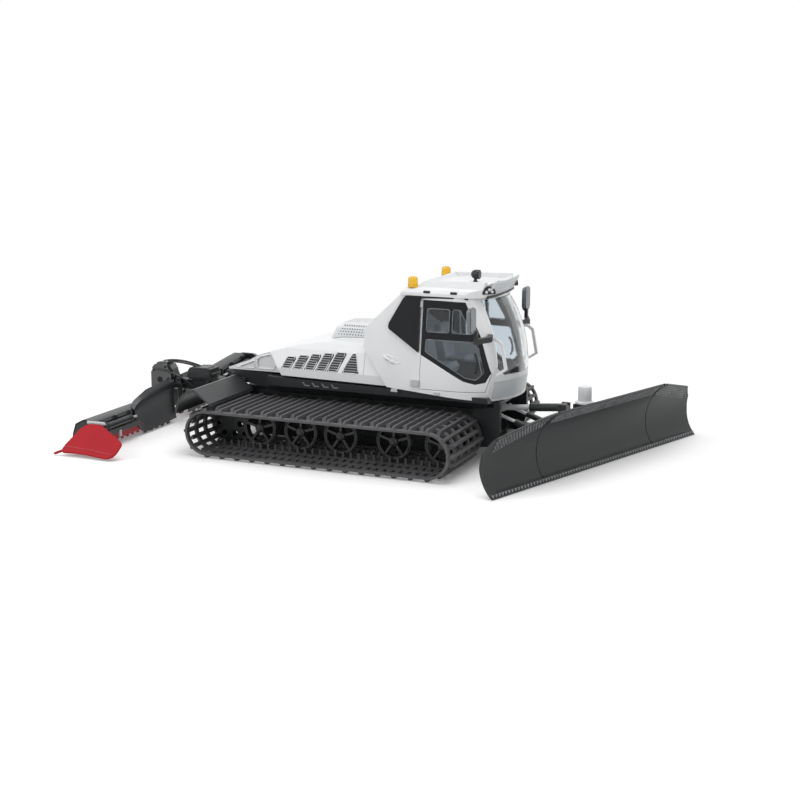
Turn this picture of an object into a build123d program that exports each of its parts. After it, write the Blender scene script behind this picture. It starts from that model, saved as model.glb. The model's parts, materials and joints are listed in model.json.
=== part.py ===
"""Toy snow groomer at 1:16: tracked carrier with a cab, a front blade with folding wings and a rear tiller.
Millimetres. +X is forward, +Y is the driver's left, +Z is up and the ground is z = 0."""
import os
from math import atan2, cos, degrees, hypot, pi, radians, sin

from build123d import *

os.makedirs("parts", exist_ok=True)

# Walls and fits of the moulded pieces
wall = 2.2                # moulded wall
door_gap = 0.5            # all round a door
pin_gap = 0.4             # between pieces that turn or slide on each other
sheet = 2.4               # blade plate

# Tracks: a loop round a front idler and a rear sprocket, lug tips on the ground
track_y = 88.0            # middle of each track
track_width = 89.0
tip_radius = 24.5         # lug tips round either end wheel
belt_out = 21.8           # outside of the bands
belt_in = 19.6            # inside of the bands
front_idler_x = 92.0
sprocket_x = -137.0
lug_count = 36
lug_thick = 2.6
edge_band = 5.4
inner_band = 11.0
inner_band_y = 14.5       # from the middle of the track
band_rows = ((-(track_width - edge_band) / 2, edge_band), (-inner_band_y, inner_band), (inner_band_y, inner_band),
             ((track_width - edge_band) / 2, edge_band))   # offset from the middle, width
wheel_xs = (-99.0, -54.5, -12.0, 43.0, 92.0)
wheel_radius = 17.6
wheel_width = 7.0
disc_y = 80.0             # middle of each sprocket
disc_thick = 8.0

# Hull between the tracks and the black tray that carries the body
track_gap = 5.5           # between the tub and either track
tub_half = track_y - track_width / 2 - track_gap
tub_x = (-152.0, 104.0)
tub_z = (13.0, 50.0)
tray_half = 56.0
tray_tail_half = 44.4     # behind the engine body
tray_x = (-107.0, 124.0)
tray_z = (54.0, 69.0)

# Cab sections from the bottom up: height, front of the bow, corner x, corner y, half width of the side
cab_sections = ((58.0, 137.5, 120.0, 50.0, 61.0),
                (80.0, 140.5, 122.0, 49.5, 58.1),
                (118.0, 137.5, 118.0, 46.0, 53.1),
                (157.0, 119.5, 102.0, 43.0, 47.9))
cab_side_back = 84.0      # where the side starts to round into the bow
cab_top = 157.0

# Door outline in the side view: rear seam, sill and the line behind the windscreen pillar
door_rear_x = 55.0
door_sill_z = 69.5
front_edge = ((119.0, 69.5), (124.0, 86.0), (112.5, 122.0), (97.0, 153.0))
hinge_x = door_rear_x - 0.5
hinge_ends = ((-59.75, 75.0), (-49.9, 149.5))      # y and z of the hinge line on the right, low and high
hinge_pin_r = 1.1

# Engine deck in the side view
deck_split_x = -107.0
hood_half = 56.0
hood_fold = 78.0                      # where the side starts to lean in
hood_lean = atan2(5.5, 20.0)          # of the louvred side from upright
# Louvres on the leaning side: lower rear corner, width, height above the fold, how far the top leans forward
louvre_table = ((-92.5, 9.0, 12.5, 5.0), (-80.0, 9.2, 14.6, 5.8), (-67.5, 9.4, 16.6, 6.6), (-55.0, 9.6, 18.4, 7.4),
                (-42.5, 9.8, 20.0, 8.0))
louvre_foot = 0.5
louvre_gable = ((-27.0, louvre_foot), (-9.5, louvre_foot), (-13.5, 20.0), (-17.5, 20.0))
louvre_depth = 2.4
slat_pitch = 3.2
panel_depth = 1.2                     # of the recessed panels beside the tail deck

# Blade: swivel post on the lift frame, then a curved mouldboard in three sections
post = (200.8, 0.0)
blade_yaw = -19.7
blade_bottom = 23.0       # bottom edge ahead of the post
blade_hollow = 11.0       # deepest point of the curve
hollow_z = 27.0
blade_top = 34.0          # top edge ahead of the post
blade_height = 65.5
middle_half = 88.6
seam_gap = 1.0
seam_notch = (4.6, 15.5)  # the seam opens into a V at the top: width, height
wing_lean = 2.4           # the wing reaches over the seam by this at the top
wing_start = middle_half + seam_gap
wing_end = wing_start + 77.4
lift_pivot = (112.0, 22.0)
pivot_r = 2.0
lower_eye = (120.0, 43.0)
lower_pin = (157.0, 30.0)
lower_y = 18.0
eye_pin_r = 1.4
upper_eye = (120.0, 45.5)
upper_pin = (181.0, 50.5)

# Tiller: carrier behind the hull, a head that swings on it, two hinged halves, rotors and side flaps
tiller_pivot = (-160.0, 34.0)
head_pin = (-210.0, 41.5)         # x and mid height of the upright pin
head_pin_r = 2.2
half_hinge = (8.0, 40.0)         # y and z of each half's hinge
rotor_axis = (-262.5, 15.5)
rotor_tip = 11.8
half_ends = (11.0, 150.0)
flap_hinge = (152.6, 29.0)
left_raise = 7.0                  # the left half stands a little up
left_flap_drop = 7.4


# Tracks
loop_length = 2 * (front_idler_x - sprocket_x)
mean_r = (belt_out + belt_in) / 2
lug_pitch = (loop_length + 2 * pi * mean_r) / lug_count
mid_x = (front_idler_x + sprocket_x) / 2
straight = front_idler_x - sprocket_x
lug_places = []                   # x, z and turn of each lug round the loop
for n in range(lug_count):
    s = n * lug_pitch
    if s < straight:
        lug_places.append((sprocket_x + s, tip_radius - mean_r, 180.0))
    elif s < straight + pi * mean_r:
        turn = (s - straight) / mean_r
        lug_places.append((front_idler_x + mean_r * sin(turn), tip_radius - mean_r * cos(turn), degrees(turn) - 180.0))
    elif s < 2 * straight + pi * mean_r:
        lug_places.append((front_idler_x - (s - straight - pi * mean_r), tip_radius + mean_r, 0.0))
    else:
        turn = (s - 2 * straight - pi * mean_r) / mean_r
        lug_places.append((sprocket_x - mean_r * sin(turn), tip_radius + mean_r * cos(turn), degrees(turn)))

with BuildPart() as track_right:
    for offset_y, width in band_rows:
        with BuildSketch(Plane((0, -track_y + offset_y + width / 2, 0), x_dir=(1, 0, 0), z_dir=(0, -1, 0))):
            with Locations((mid_x, tip_radius)):
                SlotCenterToCenter(straight, 2 * belt_out)
                SlotCenterToCenter(straight, 2 * belt_in, mode=Mode.SUBTRACT)
        extrude(amount=width)
    with BuildSketch(Plane((0, -track_y + track_width / 2, 0), x_dir=(1, 0, 0), z_dir=(0, -1, 0))):
        for x, z, turn in lug_places:
            with Locations(Location((x, z, 0), (0, 0, turn))):
                with Locations((0, (tip_radius - mean_r) / 2 - 0.4)):
                    Rectangle(lug_thick, tip_radius - mean_r + 0.8)
    extrude(amount=track_width)

with BuildPart() as track_left:
    add(track_right.part)
    mirror(about=Plane.XZ, mode=Mode.REPLACE)

# Road wheels on stub axles, each a ring with five spokes
with BuildPart() as road_wheels:
    for side in (-1, 1):
        for x in wheel_xs:
            with BuildSketch(Plane((x, side * track_y + wheel_width / 2, tip_radius), x_dir=(1, 0, 0), z_dir=(0, -1, 0))):
                Circle(wheel_radius)
                Circle(wheel_radius - 3.0, mode=Mode.SUBTRACT)
                with PolarLocations((wheel_radius - 2.0) / 2, 5, start_angle=90):
                    Rectangle(wheel_radius - 2.0, 2.2)
                Circle(4.6)
            extrude(amount=wheel_width)
    for side in (-1, 1):
        for x in wheel_xs:
            with Locations(Location((x, side * (tub_half + track_y + 7.0) / 2, tip_radius), (90, 0, 0))):
                Cylinder(2.0, track_y + 7.0 - tub_half)

# Drive sprockets at the rear, inside the loop, on hubs from the tub
with BuildPart() as sprockets:
    for side in (-1, 1):
        with BuildSketch(Plane((sprocket_x, side * disc_y + disc_thick / 2, tip_radius), x_dir=(1, 0, 0),
                               z_dir=(0, -1, 0))):
            Circle(belt_in - 0.05)
            with PolarLocations(belt_in - 1.0, 12):
                Rectangle(3.4, 4.6, mode=Mode.SUBTRACT)
            with PolarLocations(belt_in * 0.6, 6):
                Circle(3.2, mode=Mode.SUBTRACT)
        extrude(amount=disc_thick)
        with Locations(Location((sprocket_x, side * (tub_half + disc_y) / 2, tip_radius), (90, 0, 0))):
            Cylinder(5.0, disc_y - tub_half)

# Hull
with BuildPart() as hull_tub:
    with BuildSketch(Plane.XZ):
        Polygon((tub_x[0], 24), (tub_x[0] + 14, tub_z[0]), (tub_x[1] - 20, tub_z[0]), (tub_x[1], 24),
                (tub_x[1], tub_z[1]), (tub_x[0], tub_z[1]), align=None)
    extrude(amount=tub_half, both=True)
    with Locations(((tub_x[0] + tub_x[1]) / 2, 0, (tub_z[1] + tray_z[0]) / 2)):
        Box(tub_x[1] - tub_x[0] - 16, 2 * tub_half - 8, tray_z[0] - tub_z[1])

with BuildPart() as rear_fenders:
    for side in (-1, 1):
        with BuildSketch(Plane((0, side * 87.5 + 42.5, 0), x_dir=(1, 0, 0), z_dir=(0, -1, 0))):
            with BuildLine():
                Line((-131, 51), (-132, 53.4))
                Line((-132, 53.4), (-149, 66.0))
                ThreePointArc((-149, 66.0), (-163.5, 58.5), (-171, 42))
                Line((-171, 42), (-168.8, 41))
                ThreePointArc((-168.8, 41), (-161.6, 56.6), (-149.2, 63.2))
                Line((-149.2, 63.2), (-131, 51))
            make_face()
        extrude(amount=85.0)
        with Locations((-146, side * (tray_tail_half + 1.3), 61.5)):
            Box(14, 2.6, 3)

# Front posts, pivot pins and clevis plates that take the blade's lift frame
with BuildPart() as front_mount:
    for side in (-1, 1):
        with BuildSketch(Plane((0, side * (tub_half + 2.3) + 2.2, 0), x_dir=(1, 0, 0), z_dir=(0, -1, 0))):
            Polygon((104, 14), (126, 16), (131, 30), (131, 59.6), (124.2, 59.6), (124.2, 53.8), (104, 53.8),
                    align=None)
        extrude(amount=4.4)
        for lug_y, lug_w in ((25.6, 2.6), (35.4, 5.4)):
            with BuildSketch(Plane((0, side * lug_y + lug_w / 2, 0), x_dir=(1, 0, 0), z_dir=(0, -1, 0))):
                Polygon((104, 15.5), (114, 16.5), (117, 22), (114, 28), (104, 30), align=None)
            extrude(amount=lug_w)
        with Locations(Location((lift_pivot[0], side * 31.5, lift_pivot[1]), (90, 0, 0))):
            Cylinder(pivot_r, 14)
        for inner in (-1, 1):
            with Locations((111, side * (lower_y + inner * 4.4), 43.5)):
                Box(14, 1.8, 9)
    with Locations((127.6, 0, 58.2)):
        Box(6.8, 2 * tub_half + 6, 2.8)

# Cab: the outer and inner forms are lofts through the same four sections
cab_forms = []
for inset in (0.0, wall):
    with BuildPart() as cab_form:
        for z, bow_x, corner_x, corner_y, half in cab_sections:
            with BuildSketch(Plane.XY.offset(z)):
                with BuildLine():
                    rear_x = -30.0
                    cx, cy, hy, bx = corner_x - inset * 0.7, corner_y - inset * 0.7, half - inset, bow_x - inset
                    Line((rear_x, -hy), (cab_side_back, -hy))
                    ThreePointArc((cab_side_back, -hy), ((cab_side_back + cx) / 2 + 3, -(hy + cy) / 2 - 1.5), (cx, -cy))
                    ThreePointArc((cx, -cy), (bx, 0), (cx, cy))
                    ThreePointArc((cx, cy), ((cab_side_back + cx) / 2 + 3, (hy + cy) / 2 + 1.5), (cab_side_back, hy))
                    Line((cab_side_back, hy), (rear_x, hy))
                    Line((rear_x, hy), (rear_x, -hy))
                make_face()
        loft()
        with BuildSketch(Plane.XZ):
            with BuildLine():
                i = inset
                Polyline((22 + i, 69 + i), (-4 + i, 105), (-4 + i, 123 - i / 2), (31 + i, cab_top - i), (170, cab_top - i),
                         (170, 58 + i * 1.5), (128 - i, 60.5 + i), close=True)
            make_face()
        extrude(amount=90, both=True, mode=Mode.INTERSECT)
    cab_forms.append(cab_form.part)

with BuildPart() as body_tray:
    with BuildSketch(Plane.XZ):
        Polygon((tray_x[0] - 46, 60), (tray_x[0], tray_z[0]), (tray_x[1] - 6, tray_z[0]), (tray_x[1], 60),
                (tray_x[1] - 2, tray_z[1] - 4), (tray_x[0], tray_z[1]), (tray_x[0] - 46, 71), align=None)
    extrude(amount=tray_half, both=True)
    for side in (-1, 1):
        with Locations((tray_x[0] - 25, side * (tray_tail_half + 10), 65)):
            Box(46, 20, 30, mode=Mode.SUBTRACT)
    with BuildSketch(Plane.YZ.offset(-160)):
        Polygon((-tray_half + 6, 54), (tray_half - 6, 54), (tray_half, 60), (tray_half, 75), (-tray_half, 75),
                (-tray_half, 60), align=None)
    extrude(amount=300, mode=Mode.INTERSECT)
    add(cab_forms[0], mode=Mode.SUBTRACT)

# Outlines that cut the cab in the side view
with BuildSketch(Plane.XZ) as door_outline:
    with BuildLine():
        Polyline((door_rear_x, door_sill_z), front_edge[0], front_edge[1], front_edge[2], front_edge[3],
                 (door_rear_x, 153.5), close=True)
    make_face()
    fillet(door_outline.vertices().sort_by(Axis.X)[-1], 6)
    fillet(door_outline.vertices().filter_by(lambda v: v.X > 90 and v.Z > 150), 8)

with BuildSketch(Plane.XZ) as door_shape:
    add(door_outline.sketch)
    offset(amount=-door_gap, kind=Kind.INTERSECTION, mode=Mode.REPLACE)

with BuildSketch(Plane.XZ) as dark_zone:
    Polygon((50, 160), (50, 106), (55, 102), (99, 79.5), (110, 77), (119, 79), (124.5, 90), (118, 112), (96, 160),
            align=None)

with BuildSketch(Plane.XZ) as upper_window:
    Polygon((59.5, 123.5), (59.5, 146), (93.0, 146), (106.0, 123.5), align=None)
    fillet(upper_window.vertices(), 2.0)
    with Locations((84.0, 135.0)):
        Rectangle(2.2, 40, mode=Mode.SUBTRACT)

with BuildSketch(Plane.XZ) as lower_window:
    Polygon((59.5, 117), (59.5, 104.5), (101, 83), (112, 81.5), (118, 88), (110, 117), align=None)
    fillet(lower_window.vertices().filter_by(lambda v: v.Z < 100), 2.5)

with BuildSketch(Plane.XZ) as quarter_outline:
    Polygon((20.5, 127.5), (38.5, 153.5), (door_rear_x - 1.5, 153.5), (door_rear_x - 1.5, 103.5), (24, 123), align=None)
    fillet(quarter_outline.vertices().filter_by(lambda v: v.X < 45), 2.5)

with BuildPart() as cab_shell:
    add(cab_forms[0])
    add(cab_forms[1], mode=Mode.SUBTRACT)
    for outline in (door_outline, quarter_outline):
        with BuildSketch(Plane.XZ):
            add(outline.sketch)
        extrude(amount=90, both=True, mode=Mode.SUBTRACT)
    with BuildSketch(Plane.YZ.offset(100)):
        with BuildLine():
            Polyline((-34, 84), (34, 84), (42, 92), (40, 120), (37.5, 155), (-37.5, 155), (-40, 120), (-42, 92), close=True)
        make_face()
    extrude(amount=60, mode=Mode.SUBTRACT)
    with BuildSketch(Plane.YZ.offset(118)):
        Polygon((-47, 63), (47, 63), (45, 79), (-45, 79), align=None)
    extrude(amount=60, mode=Mode.SUBTRACT)

with BuildPart() as windscreen:
    add(cab_forms[0])
    add(cab_forms[1], mode=Mode.SUBTRACT)
    with BuildSketch(Plane.YZ.offset(100)):
        with BuildLine():
            Polyline((-33.5, 84.5), (33.5, 84.5), (41.5, 92.3), (39.5, 120), (37, 154.5), (-37, 154.5), (-39.5, 120),
                     (-41.5, 92.3), close=True)
        make_face()
    extrude(amount=60, mode=Mode.INTERSECT)

with BuildPart() as quarter_panels:
    add(cab_forms[0])
    add(cab_forms[1], mode=Mode.SUBTRACT)
    with BuildSketch(Plane.XZ):
        add(quarter_outline.sketch)
        offset(amount=-0.05, kind=Kind.INTERSECTION, mode=Mode.REPLACE)
    extrude(amount=90, both=True, mode=Mode.INTERSECT)

# Doors: white lower panel, dark frame and blue glass
door_pieces = {}
for piece in ("panel", "frame", "glass"):
    with BuildPart() as door:
        add(cab_forms[0])
        add(cab_forms[1], mode=Mode.SUBTRACT)
        with BuildSketch(Plane.XZ):
            add(door_shape.sketch)
            if piece == "panel":
                add(dark_zone.sketch, mode=Mode.SUBTRACT)
            elif piece == "frame":
                add(dark_zone.sketch, mode=Mode.INTERSECT)
                add(upper_window.sketch, mode=Mode.SUBTRACT)
                add(lower_window.sketch, mode=Mode.SUBTRACT)
            else:
                add(upper_window.sketch, mode=Mode.INTERSECT)
                add(lower_window.sketch)
        extrude(amount=90, mode=Mode.INTERSECT)
    door_pieces[piece] = door.part

with BuildPart() as nose_panel:
    add(cab_forms[0])
    add(cab_forms[1], mode=Mode.SUBTRACT)
    with BuildSketch(Plane.YZ.offset(118)):
        Polygon((-46.8, 63.2), (46.8, 63.2), (44.8, 78.8), (-44.8, 78.8), align=None)
    extrude(amount=60, mode=Mode.INTERSECT)

# Roof with a shallow tray between raised rails, drawn forward into a visor
with BuildPart() as cab_roof:
    with BuildSketch(Plane.XZ):
        Polygon((31.5, cab_top + 0.1), (34, 162), (38, 164.3), (47, 164.8), (53, 170), (119.5, 171.5), (122.5, 170.6),
                (118, 162), (114, cab_top + 0.1), align=None)
    extrude(amount=50, both=True)
    with BuildSketch(Plane.YZ):
        Polygon(*[(side * y, z) for side, y, z in ((-1, 50, 150), (-1, 50, 160), (-1, 48.6, 163), (-1, 45.5, 164.3),
                                                   (-1, 42.5, 164.8), (-1, 40.5, 171.6), (1, 40.5, 171.6),
                                                   (1, 42.5, 164.8), (1, 45.5, 164.3), (1, 48.6, 163), (1, 50, 160),
                                                   (1, 50, 150))], align=None)
    extrude(amount=200, mode=Mode.INTERSECT)
    with BuildSketch(Plane.XY.offset(150)):
        with BuildLine():
            Line((20, -50), (88, -50))
            ThreePointArc((88, -50), (104, -48), (113, -42))
            ThreePointArc((113, -42), (122.5, 0), (113, 42))
            ThreePointArc((113, 42), (104, 48), (88, 50))
            Polyline((88, 50), (20, 50), (20, -50))
        make_face()
    extrude(amount=40, mode=Mode.INTERSECT)
    with BuildSketch(Plane.XZ):
        Polygon((51, 172.5), (57, 166.6), (110, 166.6), (119.5, 170.9), (119.5, 180), (51, 180), align=None)
    extrude(amount=37.5, both=True, mode=Mode.SUBTRACT)

# Dark lip between the visor and the windscreen
with BuildPart() as roof_lip:
    with BuildSketch(Plane.XZ):
        Polygon((112.5, 153.0), (114.0, cab_top + 0.2), (117.6, 161.5), (121.4, 160.0), (121.0, 153.0), align=None)
    extrude(amount=38, both=True)
    add(cab_forms[0], mode=Mode.SUBTRACT)
    add(cab_roof.part, mode=Mode.SUBTRACT)

# Engine body and tail deck. The louvre outlines lie on its leaning side, along it and up from the fold
louvre_outlines = [louvre_gable]
for rear_x, width, height, lean_x in louvre_table:
    louvre_outlines.append(((rear_x, louvre_foot), (rear_x + width, louvre_foot), (rear_x + width + lean_x, height),
                            (rear_x + lean_x, height)))

with BuildPart() as hood:
    with BuildSketch(Plane.XZ):
        Polygon((deck_split_x + 14, 71), (20.0, 69.2), (-4.5, 104.8), (-4.5, 108.0), (-44, 106.5), (-83, 100),
                (deck_split_x, 93), align=None)
    extrude(amount=hood_half, both=True)
    with BuildSketch(Plane.YZ):
        Polygon(*[(side * y, z) for side, y, z in ((-1, hood_half, 60), (1, hood_half, 60), (1, hood_half, hood_fold),
                                                   (1, 50.5, 98), (1, 46, 104), (1, 38, 120), (-1, 38, 120),
                                                   (-1, 46, 104), (-1, 50.5, 98), (-1, hood_half, hood_fold))],
                align=None)
    extrude(amount=200, both=True, mode=Mode.INTERSECT)
    for side in (-1, 1):
        slope = Plane((0, side * hood_half, hood_fold), x_dir=(side * -1, 0, 0),
                      z_dir=(0, side * cos(hood_lean), sin(hood_lean)))
        with BuildSketch(slope):
            for outline in louvre_outlines:
                Polygon(*[(side * -u, v) for u, v in outline], align=None)
        extrude(amount=-louvre_depth, mode=Mode.SUBTRACT)

# Level slats inside the louvres, on a backing sheet
with BuildPart() as hood_louvres:
    for side in (-1, 1):
        slope = Plane((0, side * hood_half, hood_fold), x_dir=(side * -1, 0, 0),
                      z_dir=(0, side * cos(hood_lean), sin(hood_lean)))
        for depth, slatted in ((0.8, False), (louvre_depth - 0.6, True)):
            with BuildSketch(slope.offset(-louvre_depth)):
                for outline in louvre_outlines:
                    Polygon(*[(side * -u, v) for u, v in outline], align=None)
                offset(amount=-0.15, kind=Kind.INTERSECTION, mode=Mode.REPLACE)
                if slatted:
                    with GridLocations(0, slat_pitch, 1, 13):
                        Rectangle(400, slat_pitch - 1.3, mode=Mode.SUBTRACT)
            extrude(amount=depth)
    add(hood.part, mode=Mode.SUBTRACT)

with BuildPart() as intake_hump:
    with BuildSketch(Plane.XZ):
        Polygon((-56, 105.2), (-50, 117), (-44, 121), (-16, 122.5), (-10, 119), (-9, 108.1), (-44, 106.8), align=None)
    extrude(amount=18, both=True)
    with BuildSketch(Plane.YZ.offset(-60)):
        Polygon((-18, 100), (18, 100), (18, 116), (13, 123), (-13, 123), (-18, 116), align=None)
    extrude(amount=60, mode=Mode.INTERSECT)

with BuildPart() as tail_deck:
    with BuildSketch(Plane.XZ):
        Polygon((-158, 71.3), (-158, 73), (-134, 82), (-123, 88), (deck_split_x - 0.6, 92.7), (deck_split_x + 13.2, 71.3),
                align=None)
    extrude(amount=46, both=True)
    for side in (-1, 1):
        with BuildSketch(Plane((0, side * (46 - panel_depth), 0), x_dir=(1, 0, 0), z_dir=(0, -1, 0))):
            Polygon((-150, 73.4), (-136, 78.6), (-128, 82.2), (-128, 74), align=None)
            Polygon((-125.5, 74), (-125.5, 83.2), (-120.5, 86.5), (-109, 89.4), (-103.5, 80), (-106, 74), align=None)
        extrude(amount=-side * 3.0, mode=Mode.SUBTRACT)

# Fittings of the cab
with BuildPart() as seats:
    for side in (-1, 1):
        with BuildSketch(Plane((0, side * 22 + 12, 0), x_dir=(1, 0, 0), z_dir=(0, -1, 0))):
            with BuildLine():
                Polyline((55, 64), (69, 64), (69, 79), (76, 80.5), (77.5, 86), (74, 90), (56, 88.5), (50.5, 112),
                         (50.5, 119), (48, 121.5), (43.5, 120.5), (43, 113), (47.5, 82), (55, 79), close=True)
            make_face()
        extrude(amount=24)
    add(cab_forms[1], mode=Mode.INTERSECT)

with BuildPart() as dashboard:
    with BuildSketch(Plane.XZ):
        Polygon((105, 62), (128, 62), (128, 84), (116, 89), (105, 83), align=None)
    extrude(amount=28, both=True)
    with Locations((84, 0, 76)):
        Box(42, 9, 26)
    with Locations(Location((104, 0, 90), (0, -28, 0))):
        Cylinder(1.3, 22)
    add(cab_forms[1], mode=Mode.INTERSECT)

with BuildPart() as beacons:
    for side in (-1, 1):
        with Locations((42.5, side * 43.5, 169.4)):
            Cylinder(5.0, 9.8)
    add(cab_roof.part, mode=Mode.SUBTRACT)

with BuildPart() as searchlight:
    with Locations((89.4, 0, 168)):
        Cylinder(1.8, 4)
    with Locations((89.4, 0, 173.6)):
        Sphere(4.7)
    add(cab_roof.part, mode=Mode.SUBTRACT)

with BuildPart() as roof_lamps:
    for side in (-1, 1):
        with Locations(Location((118.4, side * 33.0, 164.0), (0, 90, side * -24))):
            Cylinder(7.4, 9)
            for across in (-3.2, 3.2):
                with Locations((0, across, 3.2)):
                    Cylinder(2.7, 4.0, mode=Mode.SUBTRACT)
    add(cab_roof.part, mode=Mode.SUBTRACT)
    add(roof_lip.part, mode=Mode.SUBTRACT)

with BuildPart() as lamp_lenses:
    for side in (-1, 1):
        with Locations(Location((118.4, side * 33.0, 164.0), (0, 90, side * -24))):
            for across in (-3.2, 3.2):
                with Locations((0, across, 3.0)):
                    Cylinder(2.7 - 0.05, 3.5)
    add(cab_roof.part, mode=Mode.SUBTRACT)
    add(roof_lip.part, mode=Mode.SUBTRACT)

with BuildPart() as grab_bars:
    for side in (-1, 1):
        with BuildSketch(Plane((0, side * 47 + 1.3, 0), x_dir=(1, 0, 0), z_dir=(0, -1, 0))):
            Polygon((118, 119.5), (128, 121), (134, 117), (139, 92), (128, 85), (128, 87.5), (136, 93), (132, 115),
                    (127.5, 118.4), (118, 117), align=None)
        extrude(amount=2.6)
    add(cab_forms[0], mode=Mode.SUBTRACT)

with BuildPart() as mirror_arms:
    for side in (-1, 1):
        with BuildSketch(Plane.XY.offset(119)):
            Polygon((123.5, side * 44), (127, side * 57), (119.5, side * 76), (115.5, side * 75), (122, side * 57),
                    (118.5, side * 44), align=None)
        extrude(amount=5)
        with Locations((117.5, side * 74, 127)):
            Box(3, 4, 10)
    add(cab_forms[0], mode=Mode.SUBTRACT)
    add(grab_bars.part, mode=Mode.SUBTRACT)

with BuildPart() as mirrors:
    for side in (-1, 1):
        with BuildSketch(Plane.YZ.offset(112.5)):
            with Locations((side * 80, 141)):
                RectangleRounded(24, 18, 3)
        extrude(amount=5)
    add(mirror_arms.part, mode=Mode.SUBTRACT)

# Hinge pins along the leaning seam, with the blocks that hold them
low, high = hinge_ends
lean = degrees(atan2(high[0] - low[0], high[1] - low[1]))
with BuildPart() as door_hinges:
    for side in (-1, 1):
        for end_y, end_z in hinge_ends:
            with Locations(Location((hinge_x - 4.0, side * -end_y, end_z), (side * lean, 0, 0))):
                Box(6.8, 2.4, 6.0)
            with Locations(Location((hinge_x, side * -end_y, end_z), (side * lean, 0, 0))):
                Cylinder(hinge_pin_r, 6.0)
    add(cab_forms[0], mode=Mode.SUBTRACT)
    add(quarter_panels.part, mode=Mode.SUBTRACT)

# Blade lift frame, swivel head and mouldboard
a = radians(blade_yaw)
fwd, left = (cos(a), sin(a), 0), (-sin(a), cos(a), 0)
blade_side = Plane((post[0], post[1], 0), x_dir=fwd, z_dir=(sin(a), -cos(a), 0))
blade_face = Plane((post[0], post[1], 0), x_dir=left, z_dir=fwd)

with BuildPart() as lift_frame:
    for side in (-1, 1):
        with BuildSketch(Plane.XY.offset(18)):
            Polygon((107, side * 27.5), (107, side * 32), (122, side * 32), (188, side * 12), (188, side * 7.5),
                    (170, side * 7.5), (119, side * 27.5), align=None)
        extrude(amount=8)
        with Locations(Location((lift_pivot[0], side * 30, lift_pivot[1]), (90, 0, 0))):
            Cylinder(pivot_r + pin_gap, 12, mode=Mode.SUBTRACT)
        with Locations((181, side * 6.0, 38)):
            Box(8, 3.0, 33)
        for inner in (-1, 1):
            with Locations((lower_pin[0], side * (lower_y + inner * 4.6), 28)):
                Box(7, 1.8, 10)
    with Locations((post[0], post[1], 35)):
        Cylinder(6.5, 33)
    with Locations((190, 0, 30)):
        Box(10, 24, 20)
    with Locations(Location((upper_pin[0], 0, upper_pin[1]), (90, 0, 0))):
        Cylinder(eye_pin_r, 14)
    for side in (-1, 1):
        with Locations(Location((lower_pin[0], side * lower_y, lower_pin[1]), (90, 0, 0))):
            Cylinder(eye_pin_r, 10)

with BuildPart() as lift_barrels:
    angle = atan2(lower_eye[1] - lower_pin[1], lower_eye[0] - lower_pin[0])
    for side in (-1, 1):
        with BuildSketch(Plane((lower_pin[0], side * lower_y, lower_pin[1]), x_dir=(0, 1, 0),
                               z_dir=(cos(angle), 0, sin(angle)))):
            Circle(2.9)
            Circle(1.7, mode=Mode.SUBTRACT)
        extrude(amount=20)
        with Locations(Location((lower_pin[0], side * lower_y, lower_pin[1]), (90, 0, 0))):
            Cylinder(3.2, 6.0)
            Cylinder(eye_pin_r + 0.2, 6.2, mode=Mode.SUBTRACT)

with BuildPart() as lift_rods:
    reach = hypot(lower_eye[0] - lower_pin[0], lower_eye[1] - lower_pin[1])
    for side in (-1, 1):
        with BuildSketch(Plane((lower_pin[0], side * lower_y, lower_pin[1]), x_dir=(0, 1, 0),
                               z_dir=(cos(angle), 0, sin(angle))).offset(12)):
            Circle(1.6)
        extrude(amount=reach - 12)
        with Locations(Location((lower_eye[0], side * lower_y, lower_eye[1]), (90, 0, 0))):
            Cylinder(2.6, 4.4)

up_angle = atan2(upper_eye[1] - upper_pin[1], upper_eye[0] - upper_pin[0])
up_plane = Plane((upper_pin[0], 0, upper_pin[1]), x_dir=(0, 1, 0), z_dir=(cos(up_angle), 0, sin(up_angle)))
with BuildPart() as upper_barrel:
    with BuildSketch(up_plane):
        Circle(3.9)
        Circle(2.8, mode=Mode.SUBTRACT)
    extrude(amount=34)
    with Locations(Location((upper_pin[0], 0, upper_pin[1]), (90, 0, 0))):
        Cylinder(4.0, 8.0)
        Cylinder(eye_pin_r + 0.2, 8.2, mode=Mode.SUBTRACT)

with BuildPart() as upper_rod:
    with BuildSketch(up_plane.offset(14)):
        Circle(2.7)
    extrude(amount=hypot(upper_eye[0] - upper_pin[0], upper_eye[1] - upper_pin[1]) - 14)
    with Locations(Location((upper_eye[0], 0, upper_eye[1]), (90, 0, 0))):
        Cylinder(3.6, 6.0)

# Mouldboard section ahead of the post: the front face and the back face are two arcs each
front_top, front_hollow, front_bottom = (blade_top, blade_height), (blade_hollow, hollow_z), (blade_bottom, 0.6)
back_top, back_hollow, back_bottom = (blade_top - 2.1, blade_height + 1.2), (blade_hollow - sheet, hollow_z), \
    (blade_bottom - 2.2, 0.6)
with BuildSketch(blade_side) as mould_profile:
    with BuildLine():
        TangentArc(front_hollow, front_top, tangent=(0, 1))
        TangentArc(front_hollow, front_bottom, tangent=(0, -1))
        Line(front_bottom, back_bottom)
        TangentArc(back_hollow, back_bottom, tangent=(0, -1))
        TangentArc(back_hollow, back_top, tangent=(0, 1))
        Line(back_top, front_top)
    make_face()

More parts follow.
